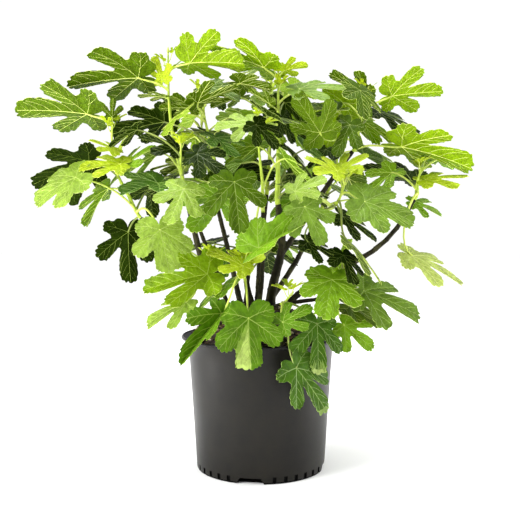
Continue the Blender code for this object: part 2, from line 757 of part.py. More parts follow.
def grow_plant(room, bark, green):
    """All the limbs, then the shoots with the leaves that are put, then the leaves of their spirals."""
    limbs = {}
    for name, (foot_radius, tip_radius, *places) in STEMS.items():
        obj, limbs[name] = make_limb(name, foot_radius, tip_radius, places, bark, True)
        room.add(solid_of(obj), name)
    for name, (carrier, foot_radius, tip_radius, *places) in BOUGHS.items():
        obj, limbs[name] = make_limb(name, foot_radius, tip_radius, places, bark, False)
        cut_back(obj, limbs[carrier], bark)
        room.add(solid_of(obj), name)
    shoots = {}
    for name, (limb, way, *_) in SHOOTS.items():
        axis, radii, _ = limbs[limb]
        shoots[name] = Shoot(name, axis[-1], (axis[-1] - axis[-2]).normalized(), radii[-1], way)
        room.add(shoots[name].solids[0], name)
    for name, (_, _, _, _, *leaves) in SHOOTS.items():
        for place in leaves:
            put_leaf(room, shoots[name], *place)
    for turn, (name, (_, _, count, space, *_)) in enumerate(SHOOTS.items()):
        chance = random.Random(turn + 11)
        for number in range(count):
            share = 0.14 + 0.80 * (number + 0.5) / count
            bearing = turn * 1.1 + number * NEXT_LEAF_TURN
            grow_leaf(room, shoots[name], share, bearing, space, chance)
    for name, shoot in shoots.items():
        fuse(name, shoot.solids, green)


def main():
    """Builds the whole plant in its pot."""
    for obj in list(bpy.data.objects):
        bpy.data.objects.remove(obj)
    room = Room()
    for obj in (make_pot(principled("black plastic", BLACK_PLASTIC)),
                make_mix(principled("potting mix", POTTING_MIX))):
        room.add(solid_of(obj), obj.name)
    grow_plant(room, principled("bark", BARK), principled("fig leaf", LEAF_GREEN))


main()
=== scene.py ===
"""How the potted fig bush looks: a satin black nursery pot, bark chips, rough woody stems, green shoots
with buds, and lobed leaves with raised veins, on a pale floor under soft studio light.

Metres, +Z up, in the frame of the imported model. -Y is the front of the plant.
"""
import math
import random

import bmesh
import bpy
import numpy as np
from mathutils import Matrix, Vector, noise
from mathutils.bvhtree import BVHTree


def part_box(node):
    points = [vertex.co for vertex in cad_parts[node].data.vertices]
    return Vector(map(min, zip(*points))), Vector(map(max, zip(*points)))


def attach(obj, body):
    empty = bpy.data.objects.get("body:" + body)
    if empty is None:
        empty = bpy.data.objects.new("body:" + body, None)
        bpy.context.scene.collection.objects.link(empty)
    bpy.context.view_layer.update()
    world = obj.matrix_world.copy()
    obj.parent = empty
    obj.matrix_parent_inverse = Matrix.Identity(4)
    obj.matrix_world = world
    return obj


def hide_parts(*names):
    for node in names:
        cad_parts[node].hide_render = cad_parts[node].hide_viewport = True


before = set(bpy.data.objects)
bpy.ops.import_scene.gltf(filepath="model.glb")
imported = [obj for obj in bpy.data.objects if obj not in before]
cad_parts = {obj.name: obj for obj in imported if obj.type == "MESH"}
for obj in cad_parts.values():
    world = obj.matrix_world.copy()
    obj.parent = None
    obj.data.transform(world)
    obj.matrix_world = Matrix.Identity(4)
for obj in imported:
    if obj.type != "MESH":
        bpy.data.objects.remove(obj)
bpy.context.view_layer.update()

UP = Vector((0.0, 0.0, 1.0))
GAP = 0.0003

# The pot, by its packed box where that gives a size
POT_LOW, POT_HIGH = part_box("pot")
POT_HEIGHT = POT_HIGH.z - POT_LOW.z
LIP_RADIUS = POT_HIGH.x
BASE_RADIUS = 0.119
WALL_TOP_RADIUS = 0.1365
LIP_DEPTH = 0.006
POT_WALL = 0.0025
FLOOR_THICK = 0.003
POT_STEPS = 108
# Its foot, as (inwards from the foot's radius, up), its rolled lip, as (inwards from the lip's edge, down
# from the top), and the heights of the rings between them, outside and inside
UNDERSIDE = 0.0008
FOOT = ((0.016, UNDERSIDE), (0.012, 0.0), (0.0024, 0.0), (0.0007, 0.0007), (0.0, 0.0022))
LIP = ((0.0030, LIP_DEPTH), (0.0010, 0.0052), (0.0, 0.0034), (0.0006, 0.0014), (0.0018, 0.0),
       (0.0032, 0.0005), (0.0042, 0.0020))
LIP_ROOT = 0.0012
OUTER_RINGS = (0.019, 0.08, 0.15, 0.21, POT_HEIGHT - LIP_DEPTH - 0.004)
INNER_RINGS = (0.20, 0.12, 0.04)
DRAINS = 4
DRAIN_FIRST = math.radians(-99)
DRAIN_HALF_ANGLE = math.radians(11)
DRAIN_HEIGHT = 0.0108
DRAIN_TOP = 0.83
DRAIN_FOOT = 1.37
DRAIN_REACH_IN = 0.011
DIMPLE_LOW = 0.0030
DIMPLE_HIGH = 0.0125
DIMPLE_EVERY = 3
DIMPLE_DEEP = 0.0022
DIMPLE_SIDE = 0.0006
# Its slots but for the wall's, and where the painted shade runs: the edge of the foot and the lip's channel
# The painted-shade slot holds a near-black copy of the plastic, put where shade falls: in the dimples, the
# drain notches, along the foot's edge and in the lip's channel
PAINTED_SHADE_SLOT = 1
LIP_SLOT = 2
SHADED_FOOT_EDGE = 0.0030
SHADED_CHANNEL_DEPTH = 0.0040
SHADED_CHANNEL_IN = 0.0030

# The potting mix
MIX_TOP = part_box("potting_mix")[1].z
MIX_EDGE = POT_HEIGHT - 0.010
MIX_TOP_RADIUS = 0.075
MIX_TOP_SHIFT = -0.015
MIX_LEVEL = 0.8
MIX_SUNK = 0.003
MIX_CLEAR = 0.0006
MIX_FOOT = 0.16
MIX_RINGS = 24
MIX_STEPS = 120
LUMPS = 42
LUMP_HEIGHT = 0.0045
CHIPS = 1500
CHIP_LENGTHS = (0.005, 0.014)
CHIP_WIDTHS = (0.45, 0.6)
CHIP_HEIGHTS = (0.16, 0.26)
CHIP_JITTER = 0.18
CHIP_TURNS = ((0, math.tau, "Z"), (-0.6, 0.6, "X"), (-0.5, 0.5, "Y"))
CHIP_LIFT = 0.0008
CHIP_COLOURS = (6, 5, 1)
FLOOR_SIZE = 8

# Where the plant was looked at from, and the photograph's frame there
LOOKED_FROM = Vector((0.0, -1.6, 0.48))
FRAME_WIDTH = 0.9802
FRAME_MIDDLE = Vector((-0.0013, 0.0, 0.3856))
SENSOR = 36.0

# The source's leaves, which say where there is room
BLADE_THICK = 0.0030
STALK_FOOT = 0.0019
STALK_TOP = 0.0014
STALK_SIDES = 3
STALK_STEPS = 4
SAG = 0.14
CURL = 0.22
ROOM_THICK = 0.0060
ROOM_SIZE = 1.04
ROOM_STALK = 1.5
NEXT_LEAF_TURN = math.radians(137.5)
TRIES = 50
NEXT_SHOOT_TURN = 1.1
# Where the spiral's leaves leave their shoot: from this share on, over this much of it
SPIRAL_FROM = 0.14
SPIRAL_SPAN = 0.80
# How far a shoot keeps its limb's way at first, how many feet along it are tried for the stalk of a leaf
# that is put, and between which shares they lie
FIRST_STRAIGHT = 0.012
FEET_TRIED = 24
LOWEST_FOOT = 0.06
HIGHEST_FOOT = 0.97
# Where a blade's outline is rounded, and the notch at its stalk: where it starts, and how deep it cuts
LOBE_BLUNT = 2.6
LOBE_ROUND = 0.42
SHOULDER = 0.62
NOTCH_FROM = 138
NOTCH_DEPTH = 0.72
# A stalk's handles, as shares of its span, and what the second one's way is mixed from
STALK_LEAVES = 0.42
STALK_ARRIVES = 0.34
ARRIVES_BY = (0.7, 0.6, 0.35)
# How a leaf that is put is tried: how far it moves each time in millimetres, and how steeply its stalk
# rises and how far up the shoot that moves
SIGHT_STEP = 7
RISES_AND_MOVES = ((0.5, 0), (0.9, 0), (0.2, 0), (0.5, 0.12), (0.5, -0.12), (0.9, 0.25), (0.3, -0.25))
# The spiral's leaves, in degrees and metres
WANDER = 1.3
CLIMBS = (5, 50)
FALLS = (5, 50)
ROLLS = (-28, 28)
FOLDS = (-6, 20)
STALK_LENGTHS = (0.050, 0.130)
BLADE_LENGTHS = (0.085, 0.120)
SMALLER_UP = 0.3
SHOOT_SIDES = 5
SHOOT_TIP = 1.5
STEPS_A_STRETCH = 2
FOOT_FLARE = 1.25

# How the finished leaves are made: the rings and spokes of a blade's faces, how many variants each form
# has, how sharply its lobes meet, and how far each lobe is off the form's
RINGS = (0.0, 0.20, 0.45, 0.70, 0.90, 1.0)
SPOKES = 112
YOUNG_SPOKES = 36
LEAF_THICK = 0.0005
VARIANTS = 4
UNION = 9
LOBE_TURN = 4
LOBE_LENGTHS = (0.92, 1.06)
LOBE_WIDTHS = (0.90, 1.03)
# The last two slots hold a painted highlight on the upper side, at full and half strength
UPPER_SLOT, UNDER_SLOT, UNDER_VEIN_SLOT, UPPER_VEIN_SLOT, HIGHLIGHT_SLOT, HALF_HIGHLIGHT_SLOT = range(6)
# How many half widths a lobe reaches to each side
LOBE_SPAN = 1.3
# For each kind of finished blade: how far its disc reaches, how much its lobes taper and how sharply,
# and how much wider they are than the solid's
DRAWN = {
    "palm": (0.35, 0.66, 3.2, 0.98),
    "broad": (0.49, 0.52, 2.8, 1.00),
    "oval": (0.44, 0.60, 2.2, 0.98),
    "slim": (0.22, 0.66, 2.4, 1.00),
}
# How high a lobe's shoulders stand, where, and how wide
SHOULDERS = (0.02, 0.13)
SHOULDERS_AT = (0.55, 0.85)
SHOULDER_WIDE = 0.13
# How deep the teeth are cut, and the shapes of a tooth, step by step
TOOTH_DEPTHS = (0.016, 0.052)
TEETH = ((1, 0.25, 0, 0.3), (1, 0.2, 0.1, 0, 0.35), (0.9, 0.1, 0.3), (1, 0.4, 0.1, 0, 0.15, 0.5))
# Near the junction they are small: from this share of the blade's length on they grow, over this much of it
TEETH_FROM = 0.30
TEETH_GROW = 0.25
TEETH_LEAST = 0.2
MIDRIB_STEPS = 9
MIDRIB_FOOT = 0.0078
MIDRIB_TIP = 0.0038
MIDRIB_BEND = 0.10
MIDRIB_END = 0.965
SIDE_VEIN_FOOT = 0.0040
SIDE_VEIN_TIP = 0.0020
SIDE_VEIN_FIRST = 0.16
SIDE_VEIN_APART = 0.082
SIDE_VEIN_LAST = 0.90
SIDE_VEIN_ANGLES = (44, 54)
SIDE_VEIN_POINTS = 4
VEIN_STEP = 0.012
VEIN_STEPS = 40
VEIN_BEND = 0.045
VEIN_END = 0.93
VEIN_TOP = 0.00055
RIDGE = 0.09
# How each finished blade differs: how much of the rule's sag and curl it takes, and its own twist, cup
# between the midribs, waves along its rim and crinkles
SAGS = (0.7, 1.25)
CURLS = (0.6, 1.1)
TWIST = 0.10
CUPS = (0.10, 0.30)
WAVES = (0.012, 0.035)
WAVES_ROUND = 5
CRINKLE = 0.012
CRINKLES_ROUND = (17, 21, 25)
# The young leaves at a shoot's tip: where each one leaves it, and how far out and up its blade starts
YOUNG_PLACES = ((0.90, 0.010, 0.014), (0.93, 0.010, 0.016), (0.96, 0.010, 0.018))
YOUNG_SIZES = (0.020, 0.032)
YOUNG_FOLDS = (25, 40)
YOUNG_BELOW = 0.034
STALK_ROUND = 8
STALK_RINGS = 10
STALK_FOOT_WIDE = 0.0022
STALK_TOP_WIDE = 0.0015
# How much a stalk swells at its foot and at its blade
STALK_ENDS = (1.35, 1.15)
# The stalks of these tints' leaves get a darker skin: painted shade, for stalks that stand in shade
SHADE_STALKED_TINTS = ("dark", "olive", "blue")
# How much light a leaf lets through, and how bright; its gloss, for each unit of its colour; and how much of
# the vein's tint shows on the upper side, and on that of the tints that may have painted highlights
THROUGH = 0.30
GLOW = 1.5
LEAF_GLOSS = 0.0006
UPPER_NET = 0.30
UNDER_NET = 0.75
UPPER_VEIN = 0.30
LOW_VEIN = 0.55
HIGHLIGHTED_TINTS = ("fresh", "blue")
# The painted highlight: a pale colour put on part of the upper side of some leaves where light falls, at two
# strengths, and the width of the band of the weaker one
HIGHLIGHT_COLOUR = (216, 228, 140)
HIGHLIGHT_SHARES = {"pale": 0.68, "half_highlight": 0.36}
HIGHLIGHT_BAND = 0.10

# How the limbs, shoots and buds are made
BUD_LENGTH = 0.012
RING_APART = 0.003
LIMB_ROUND = 14
STEM_SUNK = 0.005
FLARE_LENGTH = 0.006
FIRST_NODE = (0.008, 0.020)
NODES_APART = (0.018, 0.032)
SHOOT_ROUND = 10
# How much each one swells at a node, and over what length
LIMB_SWELL = (0.13, 0.0016)
SHOOT_SWELL = (0.22, 0.0022)
# A bud from foot to tip: shares of its length, and how wide it is there
BUD_SHARES = (0.0, 0.15, 0.4, 0.7, 0.9, 1.0)
BUD_WIDTHS = (1.0, 1.55, 1.7, 1.0, 0.4, 0.12)
SIDE_BUD = 0.42
SIDE_BUD_RADIUS = 0.0011
SIDE_BUD_OUT = 0.0022

# Each kind of blade: how far its middle disc reaches, and its lobes on one side from the midrib round,
# as (angle from the midrib, length, half width in degrees). Lengths are shares of the blade's length.
# The slim kind is for looks alone.
FORMS = {
    "palm": (0.38, ((0, 1.00, 21), (47, 0.80, 22), (100, 0.50, 27))),
    "broad": (0.52, ((0, 1.00, 27), (50, 0.80, 27), (106, 0.56, 33))),
    "oval": (0.42, ((0, 1.00, 40), (62, 0.60, 36), (115, 0.42, 34))),
    "slim": (0.20, ((0, 1.00, 27), (42, 0.70, 22), (88, 0.34, 26))),
}

# Woody limbs in millimetres: radius at the foot, radius at the tip, and the way from foot to tip
# as (right, back, up).
SOIL = 296
STEMS = {
    "stem_left": (6.8, 4.6, (-77, 10, SOIL), (-96, 10, 330), (-118, 5, 410), (-139, 0, 500)),
    "stem_left_thin": (4.2, 3.2, (-58, -16, SOIL), (-74, -18, 336), (-97, -22, 400), (-128, -28, 485)),
    "stem_mid_left": (5.4, 3.8, (-14, 8, SOIL), (-28, 6, 348), (-33, 2, 421), (-52, 0, 490), (-79, 0, 551)),
    "stem_centre": (4.8, 3.6, (-4, -16, SOIL), (2, -18, 350), (4, -18, 410), (4, -20, 475)),
    "stem_thick": (9.6, 5.4, (17, 8, SOIL), (25, 8, 345), (40, 6, 405), (38, 4, 450), (33, 4, 490)),
    "stem_far_right": (6.0, 3.8, (44, -2, SOIL), (66, -6, 318), (97, -10, 342), (150, -12, 370),
                       (210, -6, 402), (257, 0, 446), (289, 0, 500)),
    "stem_right_low": (4.2, 3.0, (40, -30, SOIL), (62, -38, 310), (98, -50, 316), (128, -60, 326)),
    "stem_front": (3.4, 2.6, (-22, -46, SOIL), (-25, -64, 325), (-28, -80, 352)),
    "stem_front_right": (3.4, 2.6, (14, -46, SOIL), (24, -66, 306), (36, -84, 312)),
    "stem_back_left": (5.6, 4.0, (-38, 34, SOIL), (-64, 74, 400), (-88, 108, 490)),
    "stem_back": (6.0, 4.2, (-6, 42, SOIL), (0, 84, 400), (12, 118, 510)),
    "stem_back_right": (5.6, 4.0, (14, 58, SOIL), (72, 88, 380), (118, 122, 470)),
    "stem_back_low": (4.2, 3.0, (-30, 60, SOIL), (-28, 96, 316), (-24, 130, 345)),
}
# A bough starts on the axis of the limb that carries it.
BOUGHS = {
    "bough_right": ("stem_thick", 5.4, 4.0, (39, 6, 396), (78, 12, 452), (128, 12, 528), (174, 8, 591)),
    "bough_far_left": ("stem_left", 4.6, 3.4, (-102, 9, 350), (-150, 6, 385), (-195, 3, 425), (-226, 0, 465)),
    "bough_left_low": ("stem_left_thin", 3.4, 2.8, (-68, -17, 321), (-78, -34, 334), (-86, -52, 350)),
    "bough_mid_right": ("bough_right", 3.8, 3.0, (96, 13, 479), (112, -12, 478), (126, -40, 482)),
}


def leaf(tint, across, up, back, clock, size, turn, lean=0, form="palm", fold=None, **looks):
    """A leaf put where it shows: its tint, its junction in millimetres, the way its midrib points as seen
    from the front (0 right, 90 up), its blade's length, how far its upper face is turned from the front
    towards the sky (90 is edge-on, more shows the underside), how far its tip leans forward, and the
    angle by which its halves fold up along the midrib. Whatever else is given is for looks alone."""
    if fold is None:
        fold = 12 if turn > 100 else 0
    return tint, looks, across, up, back, clock, size, turn, lean, form, fold


# Leafy shoots: the limb each one grows on from, its way, how many leaves the spiral adds between those
# that are put where they show, the box that those keep to (left, right, front, back, low, high), and
# the leaves that are put.
SHOOTS = {
    "leaves_top_left": (
        "stem_left", ((-154, -2, 570), (-165, -3, 615), (-173, -4, 690), (-174, -5, 775)),
        6, (-310, -20, -60, 330, 470, 790),
        leaf("mid", -231, 729, -10, 180, 132, 120),
        leaf("bright", -133, 757, -20, 1, 102, 132, fold=30),
        leaf("yellow", -186, 726, -14, 105, 46, 150),
        leaf("mid", -182, 693, 10, 170, 50, 100),
        leaf("dark", -158, 596, -30, 155, 74, 60),
    ),
    "leaves_mid_left": (
        "stem_left_thin", ((-138, -60, 525), (-143, -85, 562), (-140, -100, 600)),
        4, (-280, -40, -300, 30, 420, 680),
        leaf("pale", -145, 519, -140, 246, 86, 12, 40, scale=0.88),
        leaf("dark", -120, 585, -130, 330, 66, 35, 20),
    ),
    "leaves_upper_left": (
        "stem_mid_left", ((-94, 0, 604), (-106, -2, 655), (-110, -3, 700)),
        5, (-240, 60, -100, 300, 470, 760),
        leaf("mid", -118, 682, -30, 27, 80, 110),
        leaf("mid", -130, 672, 10, 178, 62, 120),
        leaf("dark", -182, 646, 20, 193, 106, 122),
    ),
    "leaves_centre": (
        "stem_centre", ((3, -55, 530), (-3, -85, 585), (-8, -100, 640)),
        4, (-140, 130, -320, 30, 430, 720),
        leaf("mid", -50, 532, -190, 277, 88, 8, 20),
        leaf("lime", -3, 408, -165, 36, 84, 42, 10, "broad", drawn="oval", scale=1.15, crease=40),
        leaf("pale", -20, 642, -120, 182, 64, 45),
        leaf("dark", -9, 640, -130, 315, 54, 35, 10),
    ),
    "leaves_top_centre": (
        "stem_thick", ((33, 2, 560), (33, 0, 650), (33, -2, 738)),
        6, (-140, 180, -100, 300, 480, 770),
        leaf("bright", 6, 749, -16, 157, 113, 108),
        leaf("grey", 74, 708, -20, 8, 92, 62),
        leaf("yellow", 44, 742, -8, 20, 46, 120),
        leaf("mid", 16, 681, -20, 140, 46, 110),
        leaf("dark", 40, 653, -30, 300, 52, 40),
    ),
    "leaves_top_right": (
        "bough_right", ((186, 4, 640), (202, 0, 704)),
        6, (60, 340, -100, 300, 460, 760),
        leaf("bright", 248, 695, -20, 8, 93, 132),
        leaf("bright", 266, 599, 0, 347, 138, 113),
        leaf("mid", 193, 697, -14, 140, 76, 115),
        leaf("mid", 112, 625, -40, 92, 86, 155, swing=28),
        leaf("mid", 168, 640, -60, 240, 64, 30, 10),
    ),
    "leaves_far_left": (
        "bough_far_left", ((-250, -2, 510), (-272, -4, 552), (-279, -6, 600), (-280, -6, 650)),
        5, (-410, -170, 0, 280, 400, 640),
        leaf("mid", -327, 661, 0, 174, 134, 119),
        leaf("dark", -324, 570, 30, 195, 114, 140, fold=-12),
        leaf("pale", -349, 541, -50, 205, 108, 50, drawn="broad", scale=0.84),
        leaf("mid", -280, 655, -6, 90, 36, 150),
        leaf("yellow", -265, 566, -26, 178, 62, 60, scale=1.25),
        leaf("lime", -258, 563, -34, 40, 56, 60, scale=1.25),
        leaf("yellow", -275, 592, -16, 150, 42, 70, scale=1.25),
        leaf("yellow", -268, 594, -20, 60, 46, 70, scale=1.25),
        leaf("dark", -250, 438, 10, 268, 96, 150),
        leaf("pale", -190, 442, -150, 284, 86, 15, 25, "broad", scale=0.90),
    ),
    "leaves_left_low": (
        "bough_left_low", ((-92, -62, 368), (-95, -70, 392)),
        2, (-220, -60, -260, 10, 300, 420),
        leaf("bright", -101, 359, -95, 188, 118, 42, crease=14),
        leaf("pale", -141, 306, -90, 205, 84, 60),
    ),
    "leaves_front": (
        "stem_front", ((-30, -90, 368), (-32, -97, 388)),
        1, (-100, 40, -260, -80, 300, 440),
        # The first leaf carries a painted highlight on one half, given as pale
        leaf("fresh", -23, 275, -146, 274, 100, 6, 20, "broad", scale=0.87, pale=(0.10, -1, 0.50)),
        leaf("yellow", -34, 374, -112, 152, 68, 60),
        leaf("yellow", -28, 378, -118, 62, 52, 50),
        leaf("lime", -62, 340, -95, 212, 72, 80, 0, "oval"),
        leaf("fresh", -74, 284, -116, 229, 100, 24, 24, "oval", drawn="slim", crease=60, scale=1.12),
    ),
    "leaves_front_right": (
        "stem_front_right", ((44, -94, 318), (52, -98, 328)),
        1, (0, 110, -240, -80, 280, 380),
        # These two carry a painted highlight towards the tip, given as pale
        leaf("blue", 106, 265, -116, 275, 92, 26, 24, scale=0.95, pale=(0.80, 0, 1)),
        leaf("blue", 68, 178, -166, 299, 98, 42, 8, swing=10, nearer=-18, scale=0.94,
             pale=(0.88, 0, 1)),
        leaf("fresh", 42, 268, -122, 32, 58, 40),
        leaf("fresh", 30, 312, -62, 352, 50, 62),
    ),
    "leaves_right_low": (
        "stem_right_low", ((146, -66, 342), (156, -72, 362)),
        3, (110, 280, -220, 40, 300, 420),
        leaf("lime", 134, 348, -115, 256, 84, 6, 48, "broad"),
        leaf("lime", 149, 365, -70, 75, 62, 130),
        leaf("grey", 195, 327, -80, 338, 114, 54),
        leaf("olive", 168, 297, -60, 340, 72, 65, 0, "oval"),
        leaf("lime", 158, 262, -100, 325, 66, 25, 10),
    ),
    "leaves_mid_right": (
        "bough_mid_right", ((142, -70, 500), (150, -92, 530)),
        4, (50, 300, -320, 60, 380, 620),
        leaf("dark", 155, 467, -80, 330, 76, 62),
        leaf("olive", 168, 416, -50, 315, 90, 80),
        leaf("grey", 197, 495, -120, 344, 102, 48, drawn="broad", scale=0.92),
        leaf("grey", 83, 485, -185, 296, 70, 12, 15),
        leaf("pale", 65, 515, -160, 30, 58, 45),
        leaf("dark", 89, 419, -90, 335, 64, 62),
        leaf("yellow", 144, 553, -110, 150, 62, 60),
        leaf("yellow", 150, 556, -118, 35, 58, 50),
    ),
    "leaves_far_right": (
        "stem_far_right", ((295, 0, 530), (303, -2, 560)),
        4, (200, 400, 0, 260, 400, 600),
        leaf("cream", 285, 393, -50, 338, 108, 66),
        leaf("lime", 288, 493, -40, 345, 60, 60),
        leaf("yellow", 312, 537, -10, 10, 82, 70),
        leaf("dark", 285, 535, 40, 160, 108, 105),
    ),
    "leaves_back_left": (
        "stem_back_left", ((-106, 132, 560), (-120, 150, 630), (-124, 158, 690)),
        14, (-340, 40, 30, 400, 330, 770),
    ),
    "leaves_back": (
        "stem_back", ((18, 140, 590), (22, 152, 670), (22, 158, 740)),
        12, (-180, 200, 40, 400, 400, 790),
    ),
    "leaves_back_right": (
        "stem_back_right", ((146, 148, 540), (164, 164, 610), (168, 172, 670)),
        14, (-20, 360, 30, 400, 320, 750),
    ),
    "leaves_back_low": (
        "stem_back_low", ((-20, 152, 372), (-16, 166, 405)),
        9, (-220, 200, 80, 350, 200, 540),
    ),
}

# Leaf tints as they show on a screen: upper side, underside and veins
TINTS = {
    # Some tints hold light and shade: dark is mature leaves' green darkened further as painted shade, bright
    # is painted backlight, and pale is painted sunlight on upper sides
    "dark": ((28, 44, 2), (35, 52, 2), (136, 156, 62)),
    "mid": ((66, 92, 4), (82, 108, 4), (214, 226, 120)),
    "bright": ((112, 142, 6), (126, 156, 4), (222, 234, 118)),
    "lime": ((112, 150, 22), (126, 160, 20), (212, 226, 118)),
    "yellow": ((158, 178, 24), (160, 178, 22), (222, 232, 104)),
    "pale": ((128, 154, 52), (132, 156, 50), (206, 218, 128)),
    "grey": ((102, 132, 38), (114, 140, 36), (188, 204, 108)),
    "olive": ((80, 102, 14), (86, 106, 16), (176, 190, 84)),
    "fresh": ((84, 122, 14), (100, 134, 12), (190, 210, 90)),
    "blue": ((62, 96, 18), (80, 110, 22), (150, 176, 84)),
    "cream": ((160, 174, 84), (166, 178, 86), (214, 222, 140)),
}
# How likely each tint is for a leaf of the spiral, low in the crown and high in it: low down darker, for
# older leaves and as painted shade, high up brighter, for young leaves and as painted light from above
LOW_TINTS = {"dark": 5, "mid": 3, "fresh": 3, "grey": 1, "blue": 2, "olive": 0.5, "lime": 1}
HIGH_TINTS = {"dark": 3, "mid": 4, "bright": 3, "fresh": 2, "grey": 1, "lime": 1.5, "yellow": 0.5}
HIGH_FROM = 0.62


def millimetres(place):
    """A (right, back, up) place in millimetres as a vector in metres."""
    return Vector(place) * 0.001


def on_sight_line(across, up, back):
    """The place at this depth that shows at (across, up) of the plane through the pot's axis."""
    share = (back * 0.001 - LOOKED_FROM.y) / -LOOKED_FROM.y
    in_plane = Vector((across * 0.001, 0.0, up * 0.001))
    return LOOKED_FROM + (in_plane - LOOKED_FROM) * share


def smooth_way(places, steps=STEPS_A_STRETCH):
    """Points on a smooth curve through the places, so many steps to each stretch."""
    ends = [places[0] * 2 - places[1], *places, places[-1] * 2 - places[-2]]
    points = []
    for before, start, end, after in zip(ends, ends[1:], ends[2:], ends[3:]):
        for step in range(steps):
            t = step / steps
            points.append(0.5 * (
                2 * start + (end - before) * t
                + (2 * before - 5 * start + 4 * end - after) * t ** 2
                + (3 * start - before - 3 * end + after) * t ** 3))
    return [*points, places[-1].copy()]


def arc(start, leaving, arriving, end, steps):
    """Points on a cubic curve that leaves its start and arrives at its end by two handles."""
    points = []
    for step in range(steps + 1):
        t = step / steps
        s = 1 - t
        points.append(start * s ** 3 + leaving * 3 * s * s * t + arriving * 3 * s * t * t + end * t ** 3)
    return points


def square_ways(points, foot_way=None):
    """Two directions square to a way at each of its points, turning as little as they can."""
    ahead = [(b - a).normalized() for a, b in zip(points, points[1:])]
    ways = [ahead[0], *[(a + b).normalized() for a, b in zip(ahead, ahead[1:])], ahead[-1]]
    if foot_way is not None:
        ways[0] = foot_way
    out = ways[0].orthogonal().normalized()
    pairs = []
    for way in ways:
        out = (out - way * out.dot(way)).normalized()
        pairs.append((out, way.cross(out)))
    return pairs


def plain_tube(points, radii, sides, foot_way=None):
    """Vertices and faces of a tapering tube, for telling what touches it."""
    vertices = []
    for (out, across), point, radius in zip(square_ways(points, foot_way), points, radii):
        for side in range(sides):
            angle = math.tau * side / sides
            vertices.append(point + (out * math.cos(angle) + across * math.sin(angle)) * radius)
    faces = [tuple(reversed(range(sides)))]
    for ring in range(len(points) - 1):
        low = ring * sides
        for side in range(sides):
            nxt = (side + 1) % sides
            faces.append((low + side, low + nxt, low + sides + nxt, low + sides + side))
    top = (len(points) - 1) * sides
    faces.append(tuple(range(top, top + sides)))
    return vertices, faces


def tapered(first, last, count):
    """Radii from first to last over so many points."""
    return [first + (last - first) * i / (count - 1) for i in range(count)]


def blade_reach(form, angle):
    """How far a blade reaches from its junction at this angle from the midrib, as a share of its length."""
    disc, lobes = FORMS[form]
    angle = abs(angle)
    notch = max(0.0, (angle - NOTCH_FROM) / (180 - NOTCH_FROM))
    reach = disc * (1 - NOTCH_DEPTH * notch ** 1.5)
    for middle, length, half in lobes:
        off = abs(angle - middle) / half
        if off < 1:
            reach = max(reach, length * (1 - off ** LOBE_BLUNT) ** LOBE_ROUND)
    return reach


def outline_angles(form):
    """The angles round a blade at which its outline turns: each lobe's tip and shoulders, each notch
    between two lobes, and the notch at the stalk."""
    lobes = FORMS[form][1]
    half = []
    for middle, _, wide in lobes:
        half += [middle - SHOULDER * wide, middle, middle + SHOULDER * wide]
    for (a, _, wide_a), (b, _, wide_b) in zip(lobes, lobes[1:]):
        half.append((a + wide_a + b - wide_b) / 2)
    half = sorted(angle for angle in half if angle > 0)
    return [0, *half, 180, *[-angle for angle in reversed(half)]]


def blade_lift(u, v, fold):
    """How far a blade stands off its own plane, in shares of its length: it sags to its tips, and its
    halves fold up along the midrib."""
    return math.tan(math.radians(fold)) * abs(v) - SAG * max(u, 0.0) ** 2 - CURL * v * v


def rim_of(junction, along, normal, size, form, fold):
    """The points round a blade's edge."""
    side = normal.cross(along)
    rim = []
    for angle in outline_angles(form):
        reach = blade_reach(form, angle)
        u = reach * math.cos(math.radians(angle))
        v = reach * math.sin(math.radians(angle))
        rim.append(junction + (along * u + side * v + normal * blade_lift(u, v, fold)) * size)
    return rim


def plain_blade(junction, along, normal, size, form, fold, thick):
    """Vertices and faces of a blade that is thickest at its junction, for telling what touches it."""
    rim = rim_of(junction, along, normal, size, form, fold)
    count = len(rim)
    vertices = [*rim, junction + normal * thick / 2, junction - normal * thick / 2]
    faces = []
    for i in range(count):
        nxt = (i + 1) % count
        faces.append((count, i, nxt))
        faces.append((count + 1, nxt, i))
    return vertices, faces


def leaf_solid(stalk, radii, along, normal, size, form, fold):
    """A leaf as one solid: its stalk's last ring is spread out as the underside of its blade."""
    junction = stalk[-1]
    ring = []
    side = normal.cross(along)
    under = junction - normal * BLADE_THICK / 2
    for turn in range(STALK_SIDES):
        angle = math.tau * turn / STALK_SIDES
        ring.append(under + (along * math.cos(angle) + side * math.sin(angle)) * radii[-1])
    rim = rim_of(junction, along, normal, size, form, fold)
    count = len(rim)
    angles = [math.radians(angle) % math.tau for angle in outline_angles(form)]
    vertices = [*rim, junction + normal * BLADE_THICK / 2, *ring]
    first = count + 1
    faces = [(count, i, (i + 1) % count) for i in range(count)]
    nearest = [round(angle / math.tau * STALK_SIDES) % STALK_SIDES for angle in angles]
    for i in range(count):
        nxt = (i + 1) % count
        faces.append((nxt, i, first + nearest[i]))
        if nearest[i] != nearest[nxt]:
            faces.append((nxt, first + nearest[i], first + nearest[nxt]))
    lower = len(vertices)
    low_vertices, low_faces = plain_tube(stalk[:-1], radii[:-1], STALK_SIDES)
    vertices += low_vertices
    faces += [tuple(lower + i for i in face) for face in low_faces[:-1]]
    last = len(vertices) - STALK_SIDES
    turned = best_turn(vertices[last:], ring)
    for i in range(STALK_SIDES):
        nxt = (i + 1) % STALK_SIDES
        top, top_next = first + (i + turned) % STALK_SIDES, first + (nxt + turned) % STALK_SIDES
        faces.append((last + i, last + nxt, top_next, top))
    return vertices, faces


def best_turn(low, high):
    """By how many places the upper ring is turned so that its points lie nearest the lower ones."""
    count = len(low)

    def apart(turn):
        return sum((low[i] - high[(i + turn) % count]).length for i in range(count))
    return min(range(count), key=apart)


def limits(vertices):
    """Lowest and highest corners of some points."""
    return [[pick(v[axis] for v in vertices) for axis in range(3)] for pick in (min, max)]


